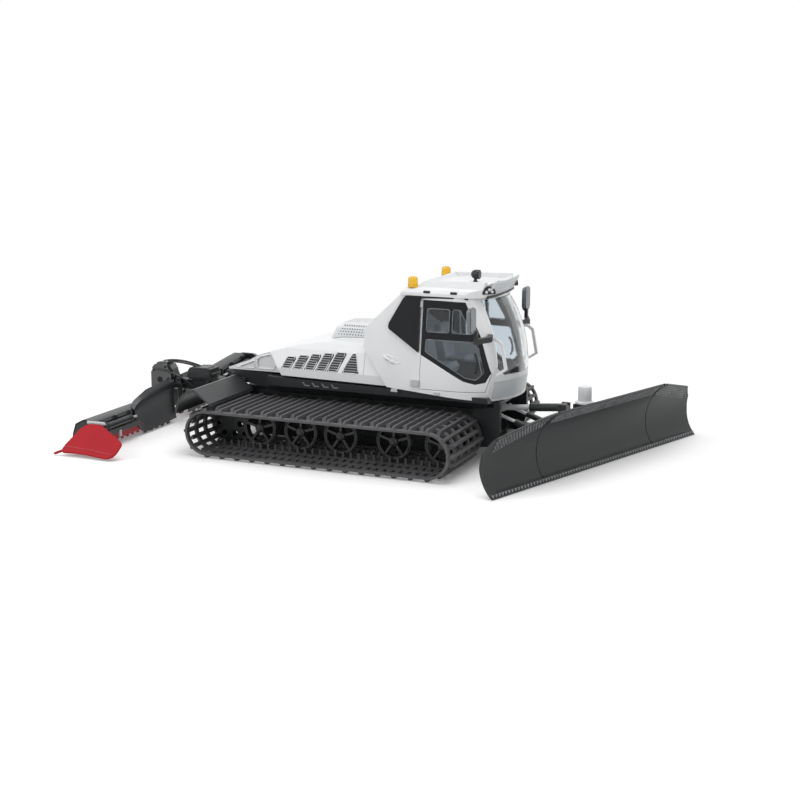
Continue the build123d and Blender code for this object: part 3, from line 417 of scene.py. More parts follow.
def add_rod(work, points, radii, sides=14, closed=False, flutes=0.0):
    """Adds a tube through points, with a radius for each of them; flutes makes every other side shallower."""
    points = [Vector(p) for p in points]
    radii = radii if isinstance(radii, (list, tuple)) else [radii] * len(points)
    rings = []
    for k, point in enumerate(points):
        ahead = points[(k + 1) % len(points)] if closed else points[min(k + 1, len(points) - 1)]
        behind = points[k - 1] if closed else points[max(k - 1, 0)]
        along = (ahead - behind).normalized()
        guide = Vector((0, 0, 1)) if abs(along.z) < 0.9 else Vector((1, 0, 0))
        side = along.cross(guide).normalized()
        rise = side.cross(along)
        ring = []
        for n in range(sides):
            angle = 2 * math.pi * n / sides
            reach = radii[k] * (1 - flutes * (n % 2))
            ring.append(work.verts.new((point + (side * math.cos(angle) + rise * math.sin(angle)) * reach) * mm))
        rings.append(ring)
    for k in range(len(rings) if closed else len(rings) - 1):
        here, there = rings[k], rings[(k + 1) % len(rings)]
        for n in range(sides):
            m = (n + 1) % sides
            work.faces.new((here[n], here[m], there[m], there[n]))
    if not closed:
        work.faces.new(rings[0])
        work.faces.new(rings[-1])


def add_sheet(work, rows, thickness):
    """A curved sheet through rows of points, given its thickness behind the side that the rows turn to."""
    grid = [[work.verts.new(Vector(point) * mm) for point in row] for row in rows]
    made = []
    for low, high in zip(grid, grid[1:]):
        for k in range(len(low) - 1):
            made.append(work.faces.new((low[k], low[k + 1], high[k + 1], high[k])))
    bmesh.ops.recalc_face_normals(work, faces=made)
    bmesh.ops.solidify(work, geom=made, thickness=thickness * mm)


def finish_piece(name, source, slot, body, replaces=(), turned=None, smooth_below=38, finish=None):
    """Makes the piece from a bmesh or a mesh: its normals, shading, finish, body and the solids it stands for."""
    work = bmesh.new()
    if isinstance(source, bpy.types.Mesh):
        work.from_mesh(source)
    else:
        copied = bpy.data.meshes.new(name + "_copy")
        source.to_mesh(copied)
        work.from_mesh(copied)
        bpy.data.meshes.remove(copied)
    if turned is not None:
        bmesh.ops.transform(work, matrix=turned, verts=work.verts)
    bmesh.ops.remove_doubles(work, verts=work.verts, dist=1e-7)
    bmesh.ops.recalc_face_normals(work, faces=work.faces)
    mesh = bpy.data.meshes.new(name)
    work.to_mesh(mesh)
    work.free()
    mesh.shade_smooth()
    mesh.set_sharp_from_angle(angle=math.radians(smooth_below))
    mesh.materials.clear()
    mesh.materials.append(finishes[finish or slot])
    piece = bpy.data.objects.new(name, mesh)
    bpy.context.scene.collection.objects.link(piece)
    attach(piece, body)
    if replaces:
        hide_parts(*replaces)
    return piece


def smooth_path(corners, steps=8):
    """Points on a smooth line that starts and ends at the outer corners and is drawn towards the others."""
    corners = [Vector(c) for c in corners]
    out = []
    for k in range(steps + 1):
        level, t = list(corners), k / steps
        while len(level) > 1:
            level = [a.lerp(b, t) for a, b in zip(level, level[1:])]
        out.append(level[0])
    return out


def along_edges(outline, shares):
    """The points at the given shares of each edge of a closed outline."""
    return [(a + (c - a) * share, b + (d - b) * share)
            for (a, b), (c, d) in zip(outline, outline[1:] + outline[:1]) for share in shares]


sides = (("right", -1), ("left", 1))
print("helpers ready")

# %% [markdown]
# A track is cleats, belts and guide teeth that follow one loop, so a Geometry Nodes tree places them. The loop
# goes in as a line of edges. The tree walks it in even steps, turns each copy so that its X runs along the path
# and its Z points outwards, and joins the copies into one mesh. The blade's teeth and studs use the same tree.

# %% A tree that repeats a shape along a path
path_tree = bpy.data.node_groups.new("repeat_along_path", "GeometryNodeTree")
for name, kind in (("Path", "NodeSocketGeometry"), ("Shape", "NodeSocketObject"), ("Count", "NodeSocketInt"),
                   ("Side Axis", "NodeSocketVector"), ("Finish", "NodeSocketMaterial")):
    path_tree.interface.new_socket(name=name, in_out="INPUT", socket_type=kind)
path_tree.interface.new_socket(name="Pieces", in_out="OUTPUT", socket_type="NodeSocketGeometry")
asked = add_node(path_tree, "NodeGroupInput")
given_back = add_node(path_tree, "NodeGroupOutput")
as_curve = add_node(path_tree, "GeometryNodeMeshToCurve")
stops = add_node(path_tree, "GeometryNodeCurveToPoints", mode="COUNT")
outward = add_node(path_tree, "ShaderNodeVectorMath", operation="CROSS_PRODUCT")
facing = add_node(path_tree, "FunctionNodeAxesToRotation", primary_axis="X", secondary_axis="Z")
shape_in = add_node(path_tree, "GeometryNodeObjectInfo", transform_space="ORIGINAL")
copies = add_node(path_tree, "GeometryNodeInstanceOnPoints")
real = add_node(path_tree, "GeometryNodeRealizeInstances")
painted = add_node(path_tree, "GeometryNodeSetMaterial")
link = path_tree.links.new
link(asked.outputs["Path"], as_curve.inputs["Mesh"])
link(as_curve.outputs["Curve"], stops.inputs["Curve"])
link(asked.outputs["Count"], stops.inputs["Count"])
link(stops.outputs["Tangent"], outward.inputs[0])
link(asked.outputs["Side Axis"], outward.inputs[1])
link(stops.outputs["Tangent"], facing.inputs["Primary Axis"])
link(outward.outputs["Vector"], facing.inputs["Secondary Axis"])
link(asked.outputs["Shape"], shape_in.inputs["Object"])
link(stops.outputs["Points"], copies.inputs["Points"])
link(shape_in.outputs["Geometry"], copies.inputs["Instance"])
link(facing.outputs["Rotation"], copies.inputs["Rotation"])
link(copies.outputs["Instances"], real.inputs["Geometry"])
link(real.outputs["Geometry"], painted.inputs["Geometry"])
link(asked.outputs["Finish"], painted.inputs["Material"])
link(painted.outputs["Geometry"], given_back.inputs["Pieces"])


def repeat_along(name, path, shape, count, side_axis, slot, body, closed=False, replaces=(), turned=None,
                 finish=None):
    """Runs the tree on a path of points in millimetres and finishes the result as one plain mesh."""
    edges = [(k, k + 1) for k in range(len(path) - 1)] + ([(len(path) - 1, 0)] if closed else [])
    path_mesh = bpy.data.meshes.new(name + "_path")
    path_mesh.from_pydata([Vector(p) * mm for p in path], edges, [])
    holder = bpy.data.objects.new(name + "_path", path_mesh)
    shape_mesh = bpy.data.meshes.new(name + "_shape")
    shape.to_mesh(shape_mesh)
    sample = bpy.data.objects.new(name + "_shape", shape_mesh)
    for made in (holder, sample):
        bpy.context.scene.collection.objects.link(made)
    modifier = holder.modifiers.new("repeat", "NODES")
    modifier.node_group = path_tree
    ids = {item.name: item.identifier for item in path_tree.interface.items_tree if item.in_out == "INPUT"}
    modifier[ids["Shape"]], modifier[ids["Count"]] = sample, count
    modifier[ids["Side Axis"]], modifier[ids["Finish"]] = side_axis, finishes[slot]
    bpy.context.view_layer.update()
    made_mesh = bpy.data.meshes.new_from_object(holder.evaluated_get(bpy.context.evaluated_depsgraph_get()))
    holder.modifiers.remove(modifier)
    for gone in (holder, sample):
        bpy.data.objects.remove(gone)
    return finish_piece(name, made_mesh, slot, body, replaces, turned, finish=finish)


print("tree nodes", len(path_tree.nodes))

# %% [markdown]
# Long cleats reach both edges and a shorter one stands midway between them. Their ends slant and their tops are
# narrower than their feet, because a mould has to let go of them. Six belts carry the cleats, with open columns
# between, and pairs of small teeth inside the loop guide the wheels.

# %% Tracks
track_y, track_width, sprocket_x, idler_x = 88.0, 89.0, -137.0, 92.0
axle_z, belt_mid_r, tip_r = 24.5, 20.7, 24.5
belt_inner_r, belt_outer_r, belt_width = 19.6, 21.8, 5.0
belt_offsets = (-42.0, -25.0, -8.5, 8.5, 25.0, 42.0)
cleat_count, short_cleat_half = 36, 35.5
ground_clearance = 0.05


def track_loop(radius, y, arc_steps=18, straight_steps=14):
    """Points round the loop at a radius from its end wheels, starting along the ground."""
    points = []
    for k in range(straight_steps):
        points.append((sprocket_x + (idler_x - sprocket_x) * k / straight_steps, y, axle_z - radius))
    for k in range(arc_steps):
        a = math.pi * k / arc_steps
        points.append((idler_x + radius * math.sin(a), y, axle_z - radius * math.cos(a)))
    for k in range(straight_steps):
        points.append((idler_x - (idler_x - sprocket_x) * k / straight_steps, y, axle_z + radius))
    for k in range(arc_steps):
        a = math.pi * k / arc_steps
        points.append((sprocket_x - radius * math.sin(a), y, axle_z + radius * math.cos(a)))
    return points


def cleat(half_width):
    """A bar across the track, its foot wider than its top and its ends slanting."""
    work = bmesh.new()
    height = tip_r - belt_mid_r - ground_clearance
    section = ((-2.2, -0.6, 0.0), (-1.7, 1.6, 0.9), (-1.0, height, 2.4), (1.0, height, 2.4), (1.7, 1.6, 0.9),
               (2.2, -0.6, 0.0))
    ends = [[work.verts.new(Vector((x, side * (half_width - pull), z)) * mm) for x, z, pull in section]
            for side in (-1, 1)]
    for k in range(len(section)):
        m = (k + 1) % len(section)
        work.faces.new((ends[0][k], ends[0][m], ends[1][m], ends[1][k]))
    work.faces.new(ends[0])
    work.faces.new(ends[1])
    bmesh.ops.recalc_face_normals(work, faces=work.faces)
    return work


def belt_loop(work, y, width):
    """A closed belt of oblong section round the loop."""
    corners = ((-1, belt_inner_r), (-1, belt_outer_r), (1, belt_outer_r), (1, belt_inner_r))
    loops = [track_loop(r, y + side * width / 2) for side, r in corners]
    rings = [[work.verts.new(Vector(p) * mm) for p in loop] for loop in loops]
    for k in range(4):
        here, there = rings[k], rings[(k + 1) % 4]
        for n in range(len(here)):
            m = (n + 1) % len(here)
            work.faces.new((here[n], here[m], there[m], there[n]))


tooth = bmesh.new()
for side in (-1, 1):
    add_plate(tooth, ((-1.5, 0), (1.5, 0), (0.9, -5.4), (-0.9, -5.4)), (0, side * 6.4 + 1.0, 0),
              (1, 0, 0), (0, 0, 1), 2.0, 0.2)
for name, side in sides:
    middle = side * track_y
    belts = bmesh.new()
    for offset in belt_offsets:
        belt_loop(belts, middle + offset, belt_width)
    finish_piece("track_belts_" + name, belts, "track_plastic", "chassis", ("track_" + name,))
    ring = track_loop(belt_mid_r, middle, 36, 40)
    repeat_along("track_long_cleats_" + name, ring, cleat(track_width / 2), cleat_count, (0, -1, 0),
                 "track_plastic", "chassis", True)
    loop_length = 2 * (idler_x - sprocket_x) + 2 * math.pi * belt_mid_r
    half_step = loop_length / (2 * cleat_count)
    low_z = axle_z - belt_mid_r
    late = [(sprocket_x + half_step, middle, low_z)] + ring[4:] + [(sprocket_x, middle, low_z)]
    repeat_along("track_short_cleats_" + name, late, cleat(short_cleat_half), cleat_count, (0, -1, 0),
                 "track_plastic", "chassis", True)
    inner = track_loop(belt_inner_r, middle, 36, 40)
    repeat_along("track_guide_teeth_" + name, inner, tooth, 2 * cleat_count, (0, -1, 0),
                 "track_plastic", "chassis", True)
print("cleats on each track", 2 * cleat_count, "pitch", round(half_step, 2))

# %% [markdown]
# The road wheels have a raised lip on both sides of the rim and a small cap on the hub. They are turned rings,
# made once for each wheel and joined, because they all ride on the same body.

# %% Wheel lips and hub caps
wheel_xs, lip_r = (-99.0, -54.5, -12.0, 43.0, 92.0), 16.4
trim = bmesh.new()
for name, side in sides:
    for x in wheel_xs:
        for face in (-1, 1):
            y = side * track_y + face * 3.6
            circle = [(x + lip_r * math.cos(a), y, axle_z + lip_r * math.sin(a))
                      for a in (2 * math.pi * k / 40 for k in range(40))]
            add_rod(trim, circle, 0.75, 6, closed=True)
        y = side * (track_y + 3.4)
        add_rod(trim, [(x, y + side * step, axle_z) for step in (0.0, 1.6, 2.4, 2.6)], [4.6, 4.2, 2.8, 1.2], 18)
finish_piece("wheel_lips", trim, "wheel_grey", "chassis")
print("wheel lip faces", len(trim.faces))

# %% [markdown]
# The mouldboard is hollow: its front is two arcs that meet at the deepest line. A band of slanting studs runs
# below its top edge and a toothed strip hangs on its foot. Both follow the board, so their paths are worked out
# from the same two arcs, and each third of the board gets its own pieces because the wings fold.

# %% Studs on the blade
post_x, yaw = 200.8, math.radians(-19.7)
ahead = Vector((math.cos(yaw), math.sin(yaw), 0.0))
leftward = Vector((-math.sin(yaw), math.cos(yaw), 0.0))


hollow_z = 27.0
upper_arc, lower_arc = (54.72, 43.72), (46.04, 35.04)


def board(across, height, proud=0.0):
    """A point on the front of the mouldboard: how far across, how high, and how far in front of it."""
    centre, radius = upper_arc if height > hollow_z else lower_arc
    reach = centre - math.sqrt(radius ** 2 - (height - hollow_z) ** 2)
    return Vector((post_x, 0, 0)) + ahead * (reach + proud) + leftward * across + Vector((0, 0, height))


stud = bmesh.new()
add_plate(stud, ((-1.15, -0.75), (-0.15, -0.75), (1.15, 0.75), (0.15, 0.75)), (0, 0, -0.6),
          (1, 0, 0), (0, 1, 0), 0.95, 0.25)
sections = {"blade": (-82.0, 82.0, 65.0, 65.0), "wing_right": (-92.0, -151.0, 63.6, 50.4),
            "wing_left": (92.0, 151.0, 63.6, 50.4)}
stud_step, row_pitch, stud_rows = 3.1, 2.0, 6
studs_made = 0
for body, (start, end, high_start, high_end) in sections.items():
    width = abs(end - start)
    count = int(width / stud_step)
    for row in range(stud_rows):
        drop = row_pitch * row
        path = []
        for k in range(13):
            share = k / 12 + (0.5 * stud_step / width if row % 2 else 0.0)
            height = high_start + (high_end - high_start) * share - drop
            path.append(board(start + (end - start) * share, height, 0.1))
        level = (high_start + high_end) / 2 - drop
        rise = (board(0, level + 1.0) - board(0, level - 1.0)).normalized()
        # The studs' pale grey is a painted sheen on black plastic.
        repeat_along(body + "_studs_" + str(row + 1), path, stud, count, tuple(rise if end > start else -rise),
                     "black_plastic", body, finish="painted_sheen")
        studs_made += count
print("studs", studs_made)

# %% [markdown]
# The cutting strip is a row of small blunt teeth. They are one tooth and a path, as the studs are, and stand
# upright, so the tree's side axis is the way across the board instead of the way up it.

# %% Cutting teeth
tooth_step = 4.1
cutter = bmesh.new()
add_plate(cutter, ((-1.25, -1.2), (1.25, -1.2), (1.0, 0.3), (0.35, 1.5), (-0.35, 1.5), (-1.0, 0.3)), (0, 0.7, 0),
          (1, 0, 0), (0, 0, 1), 1.4, 0.15)
for body, start, end in (("blade", -87.0, 87.0), ("wing_right", -91.2, -163.0), ("wing_left", 91.2, 163.0)):
    path = [board(start + (end - start) * k / 12, 3.0, 0.6) for k in range(13)]
    axis = tuple(ahead if end > start else -ahead)
    # The teeth's pale grey is a painted sheen on black plastic.
    repeat_along(body + "_teeth", path, cutter, int(abs(end - start) / tooth_step), axis, "black_plastic", body,
                 finish="painted_sheen")
print("tooth step", tooth_step)

# %% [markdown]
# A bead stiffens the foot of each board section, and a thinner one runs along its top. They are rods laid on
# the same arcs. The knob on the swivel post is a turned cap with shallow flutes, so it replaces the plain
# one of the solids.

# %% Beads of the blade and the fluted knob
foot_z, foot_proud, foot_r, top_r = 5.2, 0.1, 0.8, 0.9
for body, start, end, top_line in (
        ("blade", -88.0, 88.0, [board(-83.6 + 167.2 * k / 10, 65.4, -0.6) for k in range(11)]),
        ("wing_right", -90.6, -154.0, None), ("wing_left", 90.6, 154.0, None)):
    bead = bmesh.new()
    add_rod(bead, [board(start + (end - start) * k / 10, foot_z, foot_proud) for k in range(11)], foot_r, 8)
    if top_line is None:
        top_line = [board(start + (end - start) * k / 10, 65.6 - 14.0 * k / 10, -0.4) for k in range(11)]
    add_rod(bead, top_line, top_r, 8)
    finish_piece(body + "_beads", bead, "black_plastic", body)

knob, knob_top = bmesh.new(), 73.0
add_rod(knob, [(post_x, 0, z) for z in (56.2, 56.8, 58.2, 58.6)], [8.4, 9.0, 8.8, 7.0], 32)
add_rod(knob, [(post_x, 0, z) for z in (58.4, 59.2, 71.6, 72.7, knob_top)], [6.0, 6.4, 6.4, 5.8, 4.6], 48,
        flutes=0.07)
finish_piece("fluted_knob", knob, "white_shell", "blade", ("swivel_knob",))
print("knob height", knob_top)

# %% [markdown]
# The lamps on the roof are seen as dark arches at the two front corners with white bulbs in them. Each arch is a
# half disc with a rounded edge that faces forward and outward, and its bulbs are small turned domes.

# %% Roof lamps
arches, bulbs = bmesh.new(), bmesh.new()
arch_half, arch_high, turned_out = 7.2, 7.6, math.radians(42)
for name, side in sides:
    facing_out = Vector((math.cos(turned_out), side * math.sin(turned_out), 0))
    across = Vector((0, 0, 1)).cross(facing_out)
    centre = Vector((114.2, side * 35.6, 160.4))
    half_disc = [(-arch_half, 0), (arch_half, 0)]
    half_disc += [(arch_half * math.cos(a), arch_high * math.sin(a))
                  for a in (math.pi * k / 12 for k in range(1, 12))]
    add_plate(arches, half_disc, centre, across, (0, 0, 1), 4.2, 0.5)
    for offset, rise in ((-3.0, 2.2), (0.0, 4.4), (3.0, 2.2)):
        foot = centre + facing_out * 3.9 + across * offset + Vector((0, 0, rise))
        add_rod(bulbs, [foot + facing_out * step for step in (0.0, 0.5, 1.0, 1.25)], [1.45, 1.4, 0.95, 0.35], 14)
finish_piece("lamp_arches", arches, "black_plastic", "chassis", ("roof_lamps",))
finish_piece("lamp_bulbs", bulbs, "white_shell", "chassis", ("lamp_lenses",))

print("bulbs", 6)

# %% [markdown]
# A beacon is an amber cap with shallow flutes on a round foot. The searchlight is a small bell on a stalk. Both
# are turned shapes, so each is one row of rings, and the flutes are the rings' every other side, drawn in.

# %% Beacons and searchlight
caps, bases = bmesh.new(), bmesh.new()
for name, side in sides:
    x, y = 42.5, side * 43.5
    add_rod(caps, [(x, y, z) for z in (166.2, 166.6, 172.4, 173.6, 174.3)], [4.4, 4.7, 4.5, 3.9, 2.4], 32,
            flutes=0.05)
    add_rod(bases, [(x, y, z) for z in (164.6, 164.9, 166.3, 166.5)], [4.9, 5.0, 5.0, 4.6], 24)
finish_piece("beacon_caps", caps, "amber_lens", "chassis", ("beacons",))
finish_piece("beacon_bases", bases, "amber_lens", "chassis")

light = bmesh.new()
add_rod(light, [(89.4, 0, 166.7), (89.4, 0, 168.2), (89.4, 0, 170.2)], [2.4, 1.6, 1.2], 16)
add_rod(light, [(x, 0, 173.6) for x in (85.4, 86.6, 89.0, 92.6, 93.9, 94.0, 93.0)],
        [1.6, 3.4, 4.5, 4.6, 4.4, 3.8, 3.5], 28)
finish_piece("searchlight_body", light, "black_plastic", "chassis", ("searchlight",))
glass = bmesh.new()
add_rod(glass, [(93.0, 0, 173.6), (93.5, 0, 173.6), (93.8, 0, 173.6)], [3.5, 3.2, 1.4], 24)
finish_piece("searchlight_lens", glass, "silver_plastic", "chassis")
print("beacons", len(sides))

# %% [markdown]
# The side of the cab leans in, so what is fixed to it needs the wall's own place at each height. The heights
# and half widths of the cab's sections give it. Pulls, rails and clips are then rods and small plates just proud
# of that wall. A shrinkwrap would find it too, but a rule needs no second object.

# %% Pulls, rails and clips
wall_rows = ((58.0, 61.0), (80.0, 58.1), (118.0, 53.1), (157.0, 47.9))


def cab_wall(z):
    """Half the width of the cab at a height."""
    for (low_z, low_y), (high_z, high_y) in zip(wall_rows, wall_rows[1:]):
        if z <= high_z:
            return low_y + (high_y - low_y) * (z - low_z) / (high_z - low_z)
    return wall_rows[-1][1]


for name, side in sides:
    pull = bmesh.new()
    line = [(x, side * (cab_wall(wall_z) - inward), z) for x, wall_z, inward, z in (
        (109.5, 90, 3.6, 88), (112.5, 92, 1.0, 90), (112.0, 100, 1.0, 102), (108.5, 106, 3.4, 106))]
    add_rod(pull, smooth_path(line), 1.15, 10)
    finish_piece("door_pull_" + name, pull, "black_plastic", "door_" + name)

rails, clips = bmesh.new(), bmesh.new()
for side in (-1, 1):
    line = [(47.0, 48.6, 154.6), (58.0, 48.8, 156.4), (84.0, 48.6, 156.6), (99.0, 46.0, 155.6)]
    add_rod(rails, smooth_path([(x, side * y, z) for x, y, z in line]), 0.9, 10)
    for x in (59.0, 86.0):
        add_plate(rails, ((-3.4, -1.2), (3.4, -1.2), (3.4, 1.2), (-3.4, 1.2)), (x, side * 49.4, 161.0),
                  (side, 0, 0), (0, 0, 1), -0.9, 0.3)
    for x in (73.5, 30.0):
        add_plate(clips, ((-3.5, -1.6), (3.5, -1.6), (3.0, 1.6), (-3.0, 1.6)),
                  (x, side * (cab_wall(66) + 0.9), 66.5), (side, 0, 0), (0, 0, 1), 1.4, 0.35)
finish_piece("door_rails", rails, "black_plastic", "chassis")
finish_piece("sill_clips", clips, "grey_shell", "chassis")

print("wall at the clips", round(cab_wall(66), 2))

# %% [markdown]
# Behind each door is a shallow hollow with a slanting grip in it. Only its edge and the grip stand out of the
# wall, so a thin rod round the hollow and a thicker one across it are enough, in the white of the wall.

# %% Grips on the cab's sides
grips = bmesh.new()
hollow = ((16.8, 98.6), (23.0, 98.9), (29.5, 96.6), (35.0, 93.2), (28.0, 91.4), (21.5, 92.6))
for side in (-1, 1):
    for (x, z), (next_x, next_z) in zip(hollow, hollow[1:] + hollow[:1]):
        add_rod(grips, [(x, side * cab_wall(z), z), (next_x, side * cab_wall(next_z), next_z)], 0.55, 8)
    line = [(x, side * (cab_wall(wall_z) + outward), z) for x, wall_z, outward, z in (
        (17.6, 98, 0.2, 98.0), (20.6, 97, 1.3, 96.9), (25.2, 94, 1.3, 94.0), (28.0, 92, 0.1, 92.2))]
    add_rod(grips, line, 1.2, 10)
finish_piece("cab_grips", grips, "white_shell", "chassis")

print("wall at the grip", round(cab_wall(95.0), 2))

# %% [markdown]
# The dark quarter lights lie in the leaning wall, and each pane of the door has a thin lip round it. The light is
# one plate drawn in the wall's own plane. The lips are rods: along_edges keeps them off the corners, which rounds
# them a little, as a rubber lip is.

# %% Quarter lights and pane edges
panels = bmesh.new()
quarter = ((21.2, 126.2), (21.9, 130.0), (35.6, 154.0), (37.6, 156.0), (40.0, 156.7), (53.2, 156.7),
           (53.2, 103.8), (24.2, 122.8), (22.2, 124.2))
(low_z, low_y), (high_z, high_y) = wall_rows[1], wall_rows[-1]
tilt = math.atan2(low_y - high_y, high_z - low_z)
for side in (-1, 1):
    upward = Vector((0, -side * math.sin(tilt), math.cos(tilt)))
    outward = Vector((0, side * math.cos(tilt), math.sin(tilt)))
    on_wall = [(x, (z - low_z) / math.cos(tilt)) for x, z in quarter]
    place = Vector((0, side * low_y, low_z)) - outward * 1.2 * side
    add_plate(panels, on_wall, place, (1, 0, 0), upward, 1.5 * -side, 0.25)
finish_piece("quarter_lights", panels, "black_plastic", "chassis", ("quarter_panels",), finish="black_gloss")
panes = (((59.8, 123.9), (59.8, 145.6), (82.4, 145.6), (82.4, 123.9)),
         ((85.6, 123.9), (85.6, 145.6), (92.6, 145.6), (105.2, 123.9)),
         ((59.8, 116.6), (59.8, 104.8), (100.8, 83.4), (111.6, 82.0), (117.4, 88.2), (109.6, 116.6)))
for name, side in sides:
    edges = bmesh.new()
    for outline in panes:
        line = [(x, side * (cab_wall(z) + 0.05), z) for x, z in along_edges(outline, (0.06, 0.35, 0.65, 0.94))]
        add_rod(edges, line, 0.38, 6, closed=True)
    finish_piece("pane_edges_" + name, edges, "black_plastic", "door_" + name, finish="mirror_shell")

print("panes", len(panes))

# %% [markdown]
# A bowed visor stands over the windscreen with a dark lip below it. Its front is a sheet through rows of points
# that all bow by the same rule, so its edge stays even. The lip is a rod on that rule.

# %% Visor
visor, lip = bmesh.new(), bmesh.new()
half_visor = 37.5


def bow(y, reach):
    """How far forward a bowed edge stands at a distance from the middle."""
    return reach - 3.4 * (y / half_visor) ** 2


stations = [half_visor * k / 7 for k in range(-7, 8)]
profile = ((158.6, 119.4), (161.6, 121.2), (165.6, 123.2), (169.2, 124.6), (170.8, 125.0))
add_sheet(visor, [[(bow(y, reach), y, z) for y in stations] for z, reach in profile], 1.2)
finish_piece("visor_face", visor, "grey_shell", "chassis")
add_rod(lip, [(bow(y, 118.4), y, 157.2) for y in stations], 1.4, 10)
finish_piece("visor_lip", lip, "black_plastic", "chassis", ("roof_lip",))

print("visor stations", len(stations))

# %% [markdown]
# A mirror is a tapered shell with well rounded edges and a flat, pale face set on its rear. One outline makes
# both, the face a little smaller, so the rim between them keeps an even width.

# %% Mirrors
shells, faces = bmesh.new(), bmesh.new()
shell_edge = ((-7.4, 10.4), (-5.8, 12.2), (5.8, 12.4), (7.4, 10.8), (7.6, -7.6), (5.2, -11.6), (-4.6, -12.0),
              (-7.6, -8.0))
for name, side in sides:
    add_plate(shells, [(side * y, z) for y, z in shell_edge], (112.9, side * 80, 141),
              (0, 1, 0), (0, 0, 1), 4.4, 1.3)
    add_plate(faces, [(side * y * 0.82, z * 0.86) for y, z in shell_edge], (112.5, side * 80, 141),
              (0, 1, 0), (0, 0, 1), 0.6, 0.15)
finish_piece("mirror_shells", shells, "grey_shell", "chassis", ("mirrors",), finish="mirror_shell")
finish_piece("mirror_faces", faces, "silver_plastic", "chassis")
print("mirrors", len(sides))

# %% [markdown]
# Each louvre is a dark bed in a raised frame with a soft edge. The hood's side leans in by the same angle for all
# of them, so they are drawn flat, as widths and heights on that side, and then stood up on it. The frames are
# rods that close on themselves, and so are the outlines of the two deck panels behind them.

# %% Louvre beds and frames
lean = math.atan2(5.5, 20.0)
side_foot = (56.0, 78.0)
frames = bmesh.new()
foot = 0.5
louvres = [((-27.0, foot), (-9.5, foot), (-13.5, 20.0), (-17.5, 20.0))]
for rear_x, width, height, lean_x in ((-92.5, 9.0, 12.5, 5.0), (-80.0, 9.2, 14.6, 5.8), (-67.5, 9.4, 16.6, 6.6),
                                      (-55.0, 9.6, 18.4, 7.4), (-42.5, 9.8, 20.0, 8.0)):
    front_x = rear_x + width
    louvres.append(((rear_x, foot), (front_x, foot), (front_x + lean_x, height), (rear_x + lean_x, height)))
beds = bmesh.new()
for side in (-1, 1):
    leaning = Vector((0, -side * math.sin(lean), math.cos(lean)))
    facing = Vector((0, side * math.cos(lean), math.sin(lean)))
    for n, outline in enumerate(louvres):
        (rear, low), (front, _), (top_front, high), (top_rear, _) = outline
        wide = 0.9 if n else 0.2
        shape = ((rear - wide, low), (front + wide, low), (top_front + wide, high - 1.6),
                 (top_front + wide - 1.2, high), (top_rear - wide + 1.6, high), (top_rear - wide, high - 2.0))
        place = Vector((0, side * side_foot[0], side_foot[1])) - facing * 0.5
        add_plate(beds, shape, place, (1, 0, 0), leaning, -side * 0.7, 0.15)
finish_piece("louvre_beds", beds, "black_plastic", "chassis", ("hood_louvres",), finish="black_gloss")

for side in (-1, 1):
    for outline in louvres:
        line = [(a, side * (side_foot[0] - b * math.sin(lean) + 0.1), side_foot[1] + b * math.cos(lean))
                for a, b in along_edges(outline, (0.12, 0.5, 0.88))]
        add_rod(frames, line, 0.45, 8, closed=True)
    for outline in (((-150, 73.4), (-136, 78.6), (-128, 82.2), (-128, 74)),
                    ((-125.5, 74), (-125.5, 83.2), (-120.5, 86.5), (-109, 89.4), (-103.5, 80), (-106, 74))):
        line = [(x, side * 46.0, z) for x, z in along_edges(outline, (0.1, 0.5, 0.9))]
        add_rod(frames, line, 0.7, 8, closed=True)
    seam = [(-4.4, side * y, z) for y, z in ((56.1, 78), (50.6, 98), (46.1, 104), (40, 107.9))]
    add_rod(frames, seam, 0.5, 8)
finish_piece("louvre_frames", frames, "white_shell", "chassis")

print("louvres on each side", len(louvres))

# %% [markdown]
# The hump behind the cab is a pale grille with rows of small holes. Cutting two hundred holes would need many
# faces and show no more, so each hole is a shallow dot in dark grey, a painted shade for the hole's depth, and the
# path tree sets them in rows.

# %% Hump grille
hole = bmesh.new()
add_rod(hole, [(0, 0, -0.25), (0, 0, 0.08), (0, 0, 0.1)], [0.75, 0.75, 0.4], 8)
for n in range(9):
    y = -12.0 + 3.0 * n
    path = [(-43.0 + 26.0 * k / 6, y, 121.05 + 1.4 * k / 6) for k in range(7)]
    # Dark dots: painted shade for the holes.
    repeat_along("hump_holes_" + str(n + 1), path, hole, 10, (0.0, 1.0, 0.0), "grey_shell", "chassis",
                 finish="mirror_shell")
for name, side in sides:
    level, tipped = (0.0, 0.0, -side * 1.0), (0.0, -side * 0.7, 0.7 * -side)
    for n, (y, z, axis) in enumerate(((18.0, 109.6, level), (18.0, 112.4, level), (18.0, 115.2, level),
                                      (16.6, 118.6, tipped))):
        path = [(-48.0 + 2.2 * n + (34.0 - 2.0 * n) * k / 5, side * y, z) for k in range(6)]
        # Dark dots: painted shade for the holes.
        repeat_along("hump_side_holes_" + name + "_" + str(n + 1), path, hole, 12, axis, "grey_shell", "chassis",
                     finish="mirror_shell")
print("rows of holes", 9 + 4 * len(sides))

# %% [markdown]
# Thin slats cross each louvre bed. Their ends follow the bed's slanting sides, so each is a small plate of its
# own length and not a repeated copy.

